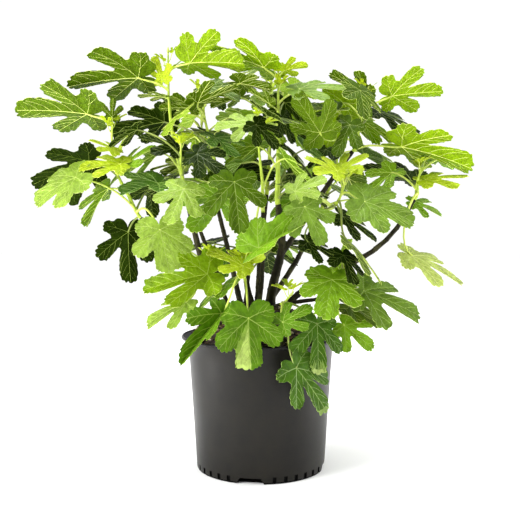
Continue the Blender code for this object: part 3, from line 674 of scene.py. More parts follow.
class Room:
    """The solids placed so far, which tells whether a new one would touch them."""

    def __init__(self):
        self.placed = []

    def add(self, solid, owner):
        self.placed.append((owner, BVHTree.FromPolygons(*solid), limits(solid[0])))

    def is_free(self, solid, but=None):
        low, high = limits(solid[0])
        tree = BVHTree.FromPolygons(*solid)
        for owner, other, (other_low, other_high) in self.placed:
            if owner == but:
                continue
            apart = any(low[i] > other_high[i] or high[i] < other_low[i] for i in range(3))
            if not apart and tree.overlap(other):
                return False
        return True


class Shoot:
    """A leafy shoot: its axis, and the leaves that it carries."""

    def __init__(self, name, start, heading, radius, way):
        self.name = name
        first = start + heading * GAP
        places = [first, first + heading * FIRST_STRAIGHT, *[millimetres(place) for place in way]]
        self.axis = smooth_way(places)
        self.radii = tapered(radius, SHOOT_TIP * 0.001, len(self.axis))
        self.solid = plain_tube(self.axis, self.radii, SHOOT_SIDES, heading)
        self.leaves = []

    def at(self, share):
        """The point that lies this share of the way up the axis."""
        place = share * (len(self.axis) - 1)
        low = min(int(place), len(self.axis) - 2)
        return self.axis[low].lerp(self.axis[low + 1], place - low)

    def share_below(self, point):
        """Where a stalk to this point leaves the axis: lower than the point, by half their distance."""
        shares = [i / FEET_TRIED for i in range(2, FEET_TRIED)]

        def miss(share):
            foot = self.at(share)
            flat = math.hypot(point.x - foot.x, point.y - foot.y)
            return abs(point.z - 0.5 * flat - foot.z) + 0.15 * flat
        return min(shares, key=miss)


def try_leaf(room, shoot, share, junction, along, normal, size, form, fold, rise):
    """Gives the shoot this leaf if there is room for it, and says whether there was."""
    foot = shoot.at(share)
    span = (junction - foot).length
    away = (junction - foot).normalized()
    leaving = foot + (away + UP * rise).normalized() * span * STALK_LEAVES
    by_blade, by_span, from_under = ARRIVES_BY
    arriving_way = (along * by_blade + away * by_span + normal * from_under).normalized()
    arriving = junction - arriving_way * span * STALK_ARRIVES
    stalk = arc(foot, leaving, arriving, junction, STALK_STEPS)
    radii = tapered(STALK_FOOT, STALK_TOP, len(stalk))
    if not room.is_free(plain_blade(junction, along, normal, size * ROOM_SIZE, form, fold, ROOM_THICK)):
        return False
    wide = [radius * ROOM_STALK for radius in radii[:-1]]
    if not room.is_free(plain_tube(stalk[:-1], wide, STALK_SIDES), but=shoot.name):
        return False
    solid = leaf_solid(stalk, radii, along, normal, size, form, fold)
    if not room.is_free(solid, but=shoot.name):
        return False
    room.add(solid, shoot.name + " leaf")
    shoot.leaves.append(Leaf(share, (foot, leaving, arriving, junction), along, normal, size, form, fold))
    return True


def facing(clock, turn, lean):
    """The midrib's way and the upper face's normal of a leaf that is put where it shows."""
    clock, turn, lean = (math.radians(angle) for angle in (clock, turn, lean))
    along = Vector((math.cos(clock) * math.cos(lean), -math.sin(lean), math.sin(clock) * math.cos(lean)))
    to_front = Vector((0, -1, 0))
    to_front = (to_front - along * to_front.dot(along)).normalized()
    upward = along.cross(to_front)
    if along.x > 0:
        upward = -upward
    return along, to_front * math.cos(turn) + upward * math.sin(turn)


def put_leaf(room, shoot, tint, looks, across, up, back, clock, size, turn, lean, form, fold):
    """A leaf that is put where it shows. Where it has no room it moves on its line of sight."""
    along, normal = facing(clock, turn, lean)
    for tried in range(TRIES):
        shift = (tried + 1) // 2 * SIGHT_STEP * (-1) ** tried
        junction = on_sight_line(across, up, back + shift)
        share = shoot.share_below(junction)
        for rise, move in RISES_AND_MOVES:
            foot = min(HIGHEST_FOOT, max(LOWEST_FOOT, share + move))
            if try_leaf(room, shoot, foot, junction, along, normal, size * 0.001, form, fold, rise):
                shoot.leaves[-1].tint = tint
                shoot.leaves[-1].dress(**looks)
                return


def grow_leaf(room, shoot, share, bearing, space, chance):
    """A leaf of the shoot's own spiral. Where it has no room it is tried at other bearings and tilts."""
    low = millimetres(space[0::2])
    high = millimetres(space[1::2])
    for tried in range(TRIES):
        spread = 0.15 + tried / TRIES
        heading = bearing + chance.uniform(-WANDER, WANDER) * spread
        climb = math.radians(chance.uniform(*CLIMBS))
        stalk = chance.uniform(*STALK_LENGTHS) * (1 - SMALLER_UP * share)
        out = Vector((math.cos(heading), math.sin(heading), 0))
        junction = shoot.at(share) + (out * math.cos(climb) + UP * math.sin(climb)) * stalk
        heading += chance.uniform(-0.5, 0.5)
        fall = math.radians(chance.uniform(*FALLS))
        roll = math.radians(chance.uniform(*ROLLS))
        size = chance.uniform(*BLADE_LENGTHS) * (1 - SMALLER_UP * share ** 2) * (1 - 0.3 * tried / TRIES)
        form = chance.choice(("palm", "palm", "broad"))
        fold = chance.uniform(*FOLDS)
        flat = Vector((math.cos(heading), math.sin(heading), 0))
        along = flat * math.cos(fall) - UP * math.sin(fall)
        level = Vector((-math.sin(heading), math.cos(heading), 0))
        normal = Matrix.Rotation(roll, 3, along) @ along.cross(level)
        tip = junction + along * size
        inside = all(low[i] < point[i] < high[i] for i in range(3) for point in (junction, tip))
        if inside and try_leaf(room, shoot, share, junction, along, normal, size, form, fold, 0.5):
            return


class Leaf:
    """One leaf: where its stalk leaves the shoot, the handles of its stalk, and how its blade lies."""

    def __init__(self, share, stalk, along, normal, size, form, fold):
        self.share = share
        self.stalk = stalk
        self.along = along
        self.normal = normal
        self.size = size
        self.form = form
        self.fold = fold
        self.tint = None
        self.dress()

    def dress(self, crease=0, pale=None, drawn=None, scale=1, swing=0, nearer=0):
        """How the finished leaf differs from its solid: how many degrees further it is creased, its painted
        highlight, a pale part where light falls, as (from this share of its length, on this side of the
        midrib or 0, how wide), its form, its size, how many degrees its tip swings round to the left, and how
        many millimetres nearer the front it hangs."""
        self.crease = math.radians(crease)
        self.pale = pale
        self.form = drawn or self.form
        self.size *= scale
        self.swing = math.radians(swing) * (1 if self.normal.y < 0 else -1)
        shift = Vector((0, -0.001 * nearer, 0))
        foot, leaving, arriving, junction = self.stalk
        self.stalk = (foot, leaving, arriving + shift, junction + shift)


def node_solid(name):
    """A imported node's vertices and faces, for telling what touches it."""
    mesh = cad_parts[name].data
    return [vertex.co.copy() for vertex in mesh.vertices], [tuple(face.vertices) for face in mesh.polygons]


def limb_axes():
    """The points and radii of each woody limb's axis."""
    axes = {}
    limbs = {**STEMS, **{name: limb for name, (_, *limb) in BOUGHS.items()}}
    for name, (foot_radius, tip_radius, *places) in limbs.items():
        axis = smooth_way([millimetres(place) for place in places])
        axes[name] = axis, tapered(foot_radius * 0.001, tip_radius * 0.001, len(axis))
    return axes


def grown_shoots(axes):
    """The leafy shoots with their leaves, by the same rule and in the same order as the source's."""
    room = Room()
    for name in ("pot", "potting_mix", *STEMS, *BOUGHS):
        room.add(node_solid(name), name)
    shoots = {}
    for name, (limb, way, *_) in SHOOTS.items():
        axis, radii = axes[limb]
        shoots[name] = Shoot(name, axis[-1], (axis[-1] - axis[-2]).normalized(), radii[-1], way)
        room.add(shoots[name].solid, name)
    for name, (_, _, _, _, *leaves) in SHOOTS.items():
        for place in leaves:
            put_leaf(room, shoots[name], *place)
    for turn, (name, (_, _, count, space, *_)) in enumerate(SHOOTS.items()):
        chance = random.Random(turn + 11)
        for number in range(count):
            share = SPIRAL_FROM + SPIRAL_SPAN * (number + 0.5) / count
            bearing = turn * NEXT_SHOOT_TURN + number * NEXT_LEAF_TURN
            grow_leaf(room, shoots[name], share, bearing, space, chance)
    return shoots


class Batch:
    """Triangles of many placed shapes that become one piece."""

    def __init__(self):
        self.points = []
        self.faces = []
        self.slots = []
        self.count = 0

    def add(self, points, faces, slots):
        self.points.append(points)
        self.faces.append(faces + self.count)
        self.slots.append(slots)
        self.count += len(points)

    def make(self, name, materials, sharp=40):
        """A new object of everything in the batch."""
        mesh = bpy.data.meshes.new(name)
        mesh.from_pydata(np.concatenate(self.points), [], np.concatenate(self.faces))
        mesh.polygons.foreach_set("material_index", np.concatenate(self.slots).astype(np.int32))
        for material in materials:
            mesh.materials.append(material)
        return shown(mesh, name, sharp)


def shown(mesh, name, sharp=40):
    """A new object of the mesh, smooth but for its sharp edges."""
    mesh.shade_smooth()
    mesh.set_sharp_from_angle(angle=math.radians(sharp))
    return linked(name, mesh)


def linked(name, data):
    """A new object in the scene."""
    obj = bpy.data.objects.new(name, data)
    bpy.context.scene.collection.objects.link(obj)
    return obj


def meshed(work, name, *materials):
    """A new mesh of a bmesh, which it uses up."""
    mesh = bpy.data.meshes.new(name)
    work.to_mesh(mesh)
    work.free()
    for material in materials:
        mesh.materials.append(material)
    return mesh


def frozen(work):
    """A bmesh's points, triangles and slots as arrays."""
    bmesh.ops.triangulate(work, faces=work.faces)
    work.verts.index_update()
    points = np.array([vertex.co for vertex in work.verts])
    faces = np.array([[vertex.index for vertex in face.verts] for face in work.faces])
    slots = np.array([face.material_index for face in work.faces])
    work.free()
    return points, faces, slots


def straight_tube(sides, steps):
    """A closed tube of radius 1 from z = 0 to z = 1, with a ring at every step."""
    work = bmesh.new()
    bmesh.ops.create_cone(work, cap_ends=True, segments=sides, radius1=1, radius2=1, depth=1,
                          matrix=Matrix.Translation((0, 0, 0.5)))
    upright = [edge for edge in work.edges if abs(edge.verts[0].co.z - edge.verts[1].co.z) > 0.5]
    bmesh.ops.subdivide_edges(work, edges=upright, cuts=steps - 1, use_grid_fill=True)
    bmesh.ops.recalc_face_normals(work, faces=work.faces)
    return frozen(work)


def ring_numbers(shape, points):
    """Which point of a way each point of a straight tube belongs to."""
    return np.rint(shape[:, 2] * (len(points) - 1)).astype(int)


def bent_tube(tube, points, radii, roughness=0.0):
    """The straight tube's points when it is bent along a way. A rough one has furrows along it."""
    shape, faces, slots = tube
    ring = ring_numbers(shape, points)
    outs, acrosses = np.array(square_ways(points)).swapaxes(0, 1)
    wide = np.array(radii)[ring]
    if roughness:
        furrows = [noise.noise(Vector((x * 2.6, y * 2.6, turn * 0.16))) for x, y, turn
                   in zip(shape[:, 0], shape[:, 1], ring + points[0].x * 1000)]
        wide = wide * (1 + roughness * np.array(furrows))
    centres = np.array([tuple(point) for point in points])[ring]
    placed = centres + (outs[ring] * shape[:, :1] + acrosses[ring] * shape[:, 1:2]) * wide[:, None]
    return placed, faces, slots


def even_way(points, spacing):
    """Points an even spacing apart along a way, and the length that each lies from its start."""
    lengths = np.array([0.0, *np.cumsum([(b - a).length for a, b in zip(points, points[1:])])])
    count = max(3, round(lengths[-1] / spacing) + 1)
    at = np.linspace(0, lengths[-1], count)
    flat = np.array([tuple(point) for point in points])
    places = np.stack([np.interp(at, lengths, flat[:, axis]) for axis in range(3)], axis=1)
    return [Vector(place) for place in places], at


def spread(radii, count):
    """The radii spread evenly over so many points."""
    return np.interp(np.linspace(0, 1, count), np.linspace(0, 1, len(radii)), radii)


def ringed(radii, lengths, nodes, swell, half_width):
    """Radii that swell at the nodes of a stem."""
    radii = np.array(radii)
    for node in nodes:
        radii = radii * (1 + swell * np.exp(-((lengths - node) / half_width) ** 2))
    return radii


def tubes_for(kept, sides, count):
    """The straight tube with this many sides and points, made once."""
    if (sides, count) not in kept:
        kept[sides, count] = straight_tube(sides, count - 1)
    return kept[sides, count]


def varied_lobes(form, chance):
    """A blade's lobes all round, each a little off the form's."""
    lobes = []
    for middle, length, half in FORMS[form][1]:
        for side in (-1, 1) if middle else (1,):
            lobes.append((
                side * middle + chance.uniform(-LOBE_TURN, LOBE_TURN),
                length * (chance.uniform(*LOBE_LENGTHS) if middle else 1),
                half * DRAWN[form][3] * chance.uniform(*LOBE_WIDTHS),
                [(edge, chance.uniform(*SHOULDERS_AT), chance.uniform(*SHOULDERS)) for edge in (-1, 1)],
            ))
    return sorted(lobes)


def reach_of(form, lobes, angles):
    """How far the blade reaches at these angles from the midrib, in shares of its length. Each lobe
    tapers from its blunt tip to the notches beside it, and has a shoulder on either side."""
    disc, taper, blunt, _ = DRAWN[form]
    notch = np.clip((np.abs(angles) - NOTCH_FROM) / (180 - NOTCH_FROM), 0, None)
    total = (disc * (1 - NOTCH_DEPTH * notch ** 1.5)) ** UNION
    for middle, length, half, shoulders in lobes:
        off = (angles - middle) / half
        reach = 1 - taper * np.minimum(np.abs(off), LOBE_SPAN) ** blunt
        for side, place, high in shoulders:
            reach = reach + high * np.exp(-((off * side - place) / SHOULDER_WIDE) ** 2)
        total = total + (length * np.clip(reach, 0, None)) ** UNION
    return np.minimum(total ** (1 / UNION), 1.0)


def smooth_rim(form, lobes, angles):
    """The blade's edge at these angles, before it has teeth."""
    reach = reach_of(form, lobes, angles)
    return np.stack([reach * np.cos(np.radians(angles)), reach * np.sin(np.radians(angles))], axis=1)


def rim_steps(form, lobes, spokes):
    """The angles of the blade's spokes, evenly spaced along its rim, with one at each tip and notch."""
    keys = [-180.0, lobes[0][0] - lobes[0][2]]
    for (a, _, wide_a, _), (b, _, wide_b, _) in zip(lobes, lobes[1:]):
        keys += [a, (a + wide_a + b - wide_b) / 2]
    keys += [lobes[-1][0], lobes[-1][0] + lobes[-1][2], 180.0]
    stretches = []
    for start, end in zip(keys, keys[1:]):
        angles = np.linspace(start, end, 120)
        rim = smooth_rim(form, lobes, angles)
        lengths = np.concatenate([[0], np.cumsum(np.linalg.norm(np.diff(rim, axis=0), axis=1))])
        stretches.append((angles, lengths))
    whole = sum(lengths[-1] for _, lengths in stretches)
    counts = [max(2, round(spokes * lengths[-1] / whole)) for _, lengths in stretches]
    counts[counts.index(max(counts))] += spokes - sum(counts)
    steps = []
    for (angles, lengths), count in zip(stretches, counts):
        even = np.linspace(0, lengths[-1], 2 * count + 1)[:-1]
        steps += list(np.interp(even, lengths, angles))
    return np.array(steps)


def toothed(rim, chance):
    """The rim's points with rounded teeth of uneven size cut back into it."""
    ways = np.roll(rim, -1, axis=0) - np.roll(rim, 1, axis=0)
    ways /= np.linalg.norm(ways, axis=1, keepdims=True)
    inward = np.stack([-ways[:, 1], ways[:, 0]], axis=1)
    cuts = np.zeros(len(rim))
    step = 0
    while step < len(rim):
        deep = chance.uniform(*TOOTH_DEPTHS)
        for share, cut in enumerate(chance.choice(TEETH)):
            if step + share < len(rim):
                cuts[step + share] = cut * deep
        step = step + share + 1
    tips = np.hypot(rim[:, 0], rim[:, 1])
    cuts *= np.clip((tips - TEETH_FROM) / TEETH_GROW, TEETH_LEAST, 1)
    return rim + inward * cuts[:, None]


def flat_blade(form, lobes, chance, spokes):
    """The blade as a flat shell: two faces that meet in a wall at its toothed rim."""
    work = turned([(share, 0) for share in RINGS], spokes)
    edge = [edge for edge in work.edges if edge.is_boundary]
    bmesh.ops.subdivide_edges(work, edges=edge, cuts=1)
    rim = smooth_rim(form, lobes, rim_steps(form, lobes, spokes))
    teeth = toothed(rim, chance)
    toothed_from = (RINGS[-2] + RINGS[-1]) / 2
    for vertex in work.verts:
        share = math.hypot(vertex.co.x, vertex.co.y)
        turn = math.atan2(-vertex.co.y, -vertex.co.x) + math.pi
        step = round(turn / math.tau * 2 * spokes) % (2 * spokes)
        x, y = teeth[step] if share > toothed_from else rim[step] * share
        vertex.co = (x, y, 0)
    bmesh.ops.recalc_face_normals(work, faces=work.faces)
    grown = bmesh.ops.extrude_face_region(work, geom=list(work.faces), use_keep_orig=True)
    raised = [item for item in grown["geom"] if isinstance(item, bmesh.types.BMVert)]
    bmesh.ops.translate(work, verts=raised, vec=(0, 0, LEAF_THICK))
    bmesh.ops.translate(work, verts=work.verts, vec=(0, 0, -LEAF_THICK / 2))
    bmesh.ops.recalc_face_normals(work, faces=work.faces)
    for face in work.faces:
        side = UPPER_SLOT if face.normal.z > 0 else UNDER_SLOT
        face.material_index = side if abs(face.normal.z) > 0.5 else UNDER_VEIN_SLOT
    return work


def midrib_points(lobe):
    """Points along the midrib of one lobe, from the junction to just short of its tip."""
    middle, length, *_ = lobe
    points = []
    for step in range(MIDRIB_STEPS + 1):
        share = step / MIDRIB_STEPS
        angle = math.radians(middle * (1 + MIDRIB_BEND * (1 - share)))
        points.append(Vector((math.cos(angle), math.sin(angle), 0)) * length * MIDRIB_END * share)
    return points


def side_vein_points(form, lobes, start, way, own):
    """Points along a vein that leaves a midrib and bends towards the tip, as far as the rim or the
    half way to another midrib."""
    points = [start.copy()]
    place = start.copy()
    for _ in range(VEIN_STEPS):
        way = (way + own.normalized() * VEIN_BEND).normalized()
        place = place + way * VEIN_STEP
        angle = math.degrees(math.atan2(place.y, place.x))
        if place.length > VEIN_END * float(reach_of(form, lobes, np.array([angle]))[0]):
            break
        offs = [abs(math.sin(math.radians(angle - lobe[0]))) for lobe in lobes if abs(angle - lobe[0]) < 90]
        mine = abs(math.sin(math.radians(angle) - math.atan2(own.y, own.x)))
        if min(offs) < mine - 0.02:
            break
        points.append(place.copy())
    return points


def add_vein(work, strip, points, radii):
    """A vein as a closed strip: flat just above the upper side, and a ridge on the underside."""
    shape, faces, _ = strip
    ahead = [(b - a).normalized() for a, b in zip(points, points[1:])]
    ahead.append(ahead[-1])
    corners = []
    for (x, y, _), at in zip(shape, ring_numbers(shape, points)):
        sideways = Vector((-ahead[at].y, ahead[at].x, 0))
        ridge = y > 0.5
        height = -LEAF_THICK - radii[at] * RIDGE if ridge else VEIN_TOP
        place = points[at] + sideways * x * radii[at]
        corners.append(work.verts.new((place.x, place.y, height)))
    made = [work.faces.new([corners[i] for i in face]) for face in faces]
    for face in made:
        face.normal_update()
    bmesh.ops.recalc_face_normals(work, faces=made)
    for face in made:
        face.material_index = UPPER_VEIN_SLOT if face.normal.z > 0.8 else UNDER_VEIN_SLOT


def thinned(points, count):
    """So many of the points, evenly picked."""
    picked = [round(i * (len(points) - 1) / (count - 1)) for i in range(count)]
    return [points[i] for i in picked]


def leaf_template(form, seed, kept, young=False):
    """One variant of a form's blade with its veins, flat, in shares of its length. Heights are in
    metres. With it come each point's distance from the nearest midrib. A young one has few faces."""
    chance = random.Random(seed)
    lobes = varied_lobes(form, chance)
    work = flat_blade(form, lobes, chance, YOUNG_SPOKES if young else SPOKES)
    for lobe in lobes:
        spine = midrib_points(lobe)
        add_vein(work, tubes_for(kept, 3, len(spine)), spine, tapered(MIDRIB_FOOT, MIDRIB_TIP, len(spine)))
        own = spine[-1]
        along = SIDE_VEIN_FIRST * (1 + chance.uniform(-0.2, 0.2)) / lobe[1]
        side = 1
        while along < SIDE_VEIN_LAST and not young:
            start = own * along
            turn = side * math.radians(chance.uniform(*SIDE_VEIN_ANGLES))
            way = Matrix.Rotation(turn, 3, "Z") @ own.normalized()
            points = side_vein_points(form, lobes, start, way, own)
            if len(points) > SIDE_VEIN_POINTS:
                add_vein(work, tubes_for(kept, 3, SIDE_VEIN_POINTS), thinned(points, SIDE_VEIN_POINTS),
                         tapered(SIDE_VEIN_FOOT, SIDE_VEIN_TIP, SIDE_VEIN_POINTS))
            side = -side
            along += SIDE_VEIN_APART / lobe[1] * chance.uniform(0.8, 1.2)
    points, faces, slots = frozen(work)
    away = np.full(len(points), 1.0)
    for middle, *_ in lobes:
        angle = math.radians(middle)
        forward = points[:, 0] * math.cos(angle) + points[:, 1] * math.sin(angle)
        beside = np.abs(points[:, 1] * math.cos(angle) - points[:, 0] * math.sin(angle))
        away = np.where(forward > 0, np.minimum(away, beside), away)
    away = np.minimum(away, np.hypot(points[:, 0], points[:, 1]))
    return points, faces, slots, away


def with_painted_highlight(slots, u, v, pale):
    """The slots of a blade's triangles with a painted highlight put on its upper side: a pale part that
    stands for light falling there.
    """
    start, on_side, wide = pale
    far = u + 0.03 * np.sin(40 * v) + 0.02 * np.sin(23 * u + 31 * v) - start
    if on_side:
        far = np.minimum(far, np.minimum(wide * u - np.abs(v), v * on_side * 9))
    upper = slots == UPPER_SLOT
    slots = np.where(upper & (far > HIGHLIGHT_BAND), HIGHLIGHT_SLOT, slots)
    return np.where(upper & (far > 0) & (far <= HIGHLIGHT_BAND), HALF_HIGHLIGHT_SLOT, slots)


def laid_blade(template, leaf, chance):
    """A blade's points when it is laid where its leaf holds it, with its own sag, twist and waves."""
    points, faces, slots, away = template
    u, v, w = points.T
    if chance.random() < 0.5:
        v = -v
        faces = faces[:, ::-1]
    sag = SAG * chance.uniform(*SAGS)
    curl = CURL * chance.uniform(*CURLS)
    twist = chance.uniform(-TWIST, TWIST)
    cup = chance.uniform(*CUPS)
    waves = chance.uniform(*WAVES)
    start = chance.uniform(0, math.tau)
    crinkles = chance.choice(CRINKLES_ROUND)
    angle = np.arctan2(v, u)
    lift = math.tan(math.radians(leaf.fold)) * np.abs(v) - sag * np.maximum(u, 0) ** 2 - curl * v * v
    lift = lift + twist * u * v + cup * away * (1 - 2.2 * away)
    lift = lift + waves * np.hypot(u, v) * np.sin(WAVES_ROUND * angle + start)
    lift = lift + CRINKLE * np.hypot(u, v) ** 2 * np.sin(crinkles * angle + 2 * start)
    # A leaf given a pale part gets a painted highlight on its upper side, where light falls
    if leaf.pale is not None:
        slots = with_painted_highlight(slots, u[faces].mean(axis=1), v[faces].mean(axis=1), leaf.pale)
    lift = lift + np.abs(v) * math.sin(leaf.crease)
    v = v * math.cos(leaf.crease)
    u, v = (u * math.cos(leaf.swing) - v * math.sin(leaf.swing),
            u * math.sin(leaf.swing) + v * math.cos(leaf.swing))
    side = leaf.normal.cross(leaf.along)
    placed = (np.array(leaf.stalk[-1]) + np.outer(u * leaf.size, leaf.along) + np.outer(v * leaf.size, side)
              + np.outer(lift * leaf.size + w * min(1.0, leaf.size / 0.08), leaf.normal))
    return placed, faces, slots


def linear(colour):
    """A colour as it shows on a screen, as the linear values that a shader takes."""
    shares = [part / 255 for part in colour]
    return (*[s / 12.92 if s <= 0.04045 else ((s + 0.055) / 1.055) ** 2.4 for s in shares], 1.0)


class Finish:
    """A material under construction: its nodes, and ways to join them."""

    def __init__(self, name):
        self.material = bpy.data.materials.new(name)
        self.material.use_nodes = True
        self.nodes = self.material.node_tree.nodes
        self.links = self.material.node_tree.links
        self.shader = self.nodes["Principled BSDF"]
        self.place = self.nodes.new("ShaderNodeTexCoord").outputs["Object"]

    def pattern(self, kind, scale, stretch=(1, 1, 1), feature=None, **settings):
        """A texture node in the object's own coordinates."""
        mapping = self.nodes.new("ShaderNodeMapping")
        mapping.inputs["Scale"].default_value = stretch
        self.links.new(self.place, mapping.inputs["Vector"])
        texture = self.nodes.new(kind)
        self.links.new(mapping.outputs["Vector"], texture.inputs["Vector"])
        texture.inputs["Scale"].default_value = scale
        if feature:
            texture.feature = feature
        for name, value in settings.items():
            texture.inputs[name].default_value = value
        return texture.outputs[0]

    def ramp(self, source, *stops):
        """A ramp of (position, linear colour) stops over a value."""
        node = self.nodes.new("ShaderNodeValToRGB")
        stretch = node.color_ramp.elements
        while len(stretch) < len(stops):
            stretch.new(0.5)
        for element, (position, colour) in zip(stretch, stops):
            element.position = position
            element.color = colour
        self.links.new(source, node.inputs["Fac"])
        return node.outputs["Color"]

    def blended(self, share, first, colour):
        """A colour output blended into one fixed colour by a varying share."""
        node = self.nodes.new("ShaderNodeMix")
        node.data_type = "RGBA"
        self.links.new(share, node.inputs[0])
        self.links.new(first, node.inputs[6])
        node.inputs[7].default_value = colour
        return node.outputs[2]

    def bump(self, source, distance, strength=1.0, after=None):
        """A bump of this height in metres, laid over another one."""
        node = self.nodes.new("ShaderNodeBump")
        node.inputs["Distance"].default_value = distance
        node.inputs["Strength"].default_value = strength
        self.links.new(source, node.inputs["Height"])
        if after is not None:
            self.links.new(after, node.inputs["Normal"])
        return node.outputs["Normal"]

    def clouds(self, scale, stretch=(1, 1, 1), **settings):
        """A soft noise."""
        return self.pattern("ShaderNodeTexNoise", scale, stretch, **settings)

    def finished(self, colour, normal, **settings):
        """The material, with this colour and these bumps, and the shader's other values by name."""
        self.links.new(colour, self.shader.inputs["Base Color"])
        self.links.new(normal, self.shader.inputs["Normal"])
        for name, value in settings.items():
            self.shader.inputs[name.replace("_", " ")].default_value = value
        return self.material


def grey(value):
    """A linear grey."""
    return (value, value, value, 1.0)


def shaded(colour, share):
    """A linear colour made darker or lighter by this share."""
    return (*[part * share for part in colour[:3]], 1.0)


def leaf_side(name, colour, net_share, roughness=0.48):
    """One side of a leaf: a thin skin that lets some light through, puffed up between small veins,
    with a net of the finest ones."""
    finish = Finish(name)
    base = linear(colour)
    mottle = finish.clouds(62, Detail=8.0, Roughness=0.68)
    shades = finish.ramp(mottle, (0.33, shaded(base, 0.60)), (0.50, base), (0.67, shaded(base, 1.42)))
    meshes = finish.pattern("ShaderNodeTexVoronoi", 230, feature="DISTANCE_TO_EDGE")
    net = finish.ramp(meshes, (0.01, grey(net_share)), (0.08, grey(0)))
    cells = finish.pattern("ShaderNodeTexVoronoi", 150)
    puffs = finish.bump(cells, 0.0016, 0.7, finish.bump(finish.clouds(70, Detail=3.0), 0.0040, 0.8))
    finish.finished(finish.blended(net, shades, shaded(base, 2.2)),
                    finish.bump(finish.clouds(900, Detail=2.0), 0.0002, 0.5, puffs),
                    Roughness=roughness, Specular_IOR_Level=LEAF_GLOSS * sum(colour))
    glow = finish.nodes.new("ShaderNodeBsdfTranslucent")
    glow.inputs["Color"].default_value = shaded(base, GLOW)
    mix = finish.nodes.new("ShaderNodeMixShader")
    mix.inputs["Fac"].default_value = THROUGH
    finish.links.new(finish.shader.outputs["BSDF"], mix.inputs[1])
    finish.links.new(glow.outputs["BSDF"], mix.inputs[2])
    finish.links.new(mix.outputs["Shader"], finish.nodes["Material Output"].inputs["Surface"])
    return finish.material


def green_skin(name, low, high, roughness):
    """The skin of green shoots, stalks and veins, faintly streaked."""
    finish = Finish(name)
    streaks = finish.ramp(finish.clouds(160, (1, 1, 0.3), Detail=3.0),
                          (0.35, linear(low)), (0.65, linear(high)))
    grain = finish.bump(finish.clouds(1100, Detail=2.0), 0.0002, 0.5)
    return finish.finished(streaks, grain, Roughness=roughness)


def bark_finish():
    """Dark brown fig bark with grey patches, fine cracks and raised pores."""
    finish = Finish("fig_bark")
    patches = finish.clouds(55, (1, 1, 0.45), Detail=6.0, Roughness=0.65)
    cracks = finish.clouds(380, (1, 1, 0.22), Detail=5.0, Roughness=0.7)
    pores = finish.pattern("ShaderNodeTexVoronoi", 330)
    shades = finish.ramp(patches, (0.30, linear((17, 16, 9))), (0.50, linear((36, 33, 19))),
                         (0.64, linear((70, 68, 44))), (0.82, linear((34, 40, 20))))
    dots = finish.ramp(pores, (0.05, grey(1)), (0.16, grey(0)))
    normal = finish.bump(dots, 0.0005, 0.8, finish.bump(cracks, 0.0012))
    return finish.finished(shades, normal, Roughness=0.72, Specular_IOR_Level=0.12)


def pot_finish(name, low, high, gloss, smooth, rough):
    """Black moulded plastic with a fine orange-peel skin and faint rings from the mould."""
    finish = Finish(name)
    skin = finish.clouds(1500, Detail=2.0)
    waves = finish.clouds(60, (0.3, 0.3, 1.6), Detail=2.0)
    dust = finish.clouds(26, Detail=6.0, Roughness=0.6)
    sheen = finish.ramp(dust, (0.3, grey(smooth)), (0.8, grey(rough)))
    finish.links.new(sheen, finish.shader.inputs["Roughness"])
    shades = finish.ramp(dust, (0.35, linear(low)), (0.75, linear(high)))
    normal = finish.bump(waves, 0.0008, 0.25, finish.bump(skin, 0.0001, 0.6))
    return finish.finished(shades, normal, Specular_IOR_Level=gloss)


def mix_finish(name, dark, light, scale):
    """Damp bark and peat, from fines to fibres."""
    finish = Finish(name)
    lumps = finish.clouds(scale, Detail=8.0, Roughness=0.7)
    fibres = finish.clouds(scale * 4, (1, 0.3, 1), Detail=4.0)
    shades = finish.ramp(lumps, (0.35, linear(dark)), (0.70, linear(light)))
    normal = finish.bump(fibres, 0.0006, 0.8, finish.bump(lumps, 0.002, 0.8))
    return finish.finished(shades, normal, Roughness=0.88)


def settled(piece, slot, *nodes):
    """Puts a piece in the place of these nodes: hangs it on the root body and hides the nodes. The slot it is
    given is not used.
    """
    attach(piece, "root")
    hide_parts(*nodes)


def make_woods(axes, kept, bark):
    """The woody stems and boughs, with rings where leaves once stood, as one piece."""
    batch = Batch()
    for number, (name, (axis, radii)) in enumerate(axes.items()):
        chance = random.Random(number + 300)
        points, lengths = even_way(axis, RING_APART)
        if name in STEMS:
            points[0].z -= STEM_SUNK
        wide = spread(radii, len(points))
        if name in STEMS:
            wide = wide * (1 + (FOOT_FLARE - 1) * np.exp(-lengths / FLARE_LENGTH))
        nodes = []
        at = chance.uniform(*FIRST_NODE)
        while at < lengths[-1]:
            nodes.append(at)
            at += chance.uniform(*NODES_APART)
        wide = ringed(wide, lengths, nodes, *LIMB_SWELL)
        tube = tubes_for(kept, LIMB_ROUND, len(points))
        batch.add(*bent_tube(tube, points, wide, 0.10))
    settled(batch.make("woody_stems", [bark], 50), "bark", *STEMS, *BOUGHS)


def make_shoots(shoots, kept, skin):
    """The green shoots, swollen where each leaf leaves, as one piece."""
    batch = Batch()
    for shoot in shoots.values():
        points, lengths = even_way(shoot.axis, RING_APART)
        wide = spread(shoot.radii, len(points))
        nodes = [leaf.share * lengths[-1] for leaf in shoot.leaves]
        wide = ringed(wide, lengths, nodes, *SHOOT_SWELL)
        batch.add(*bent_tube(tubes_for(kept, SHOOT_ROUND, len(points)), points, wide, 0.05))
    settled(batch.make("green_shoots", [skin], 50), "foliage", *SHOOTS)


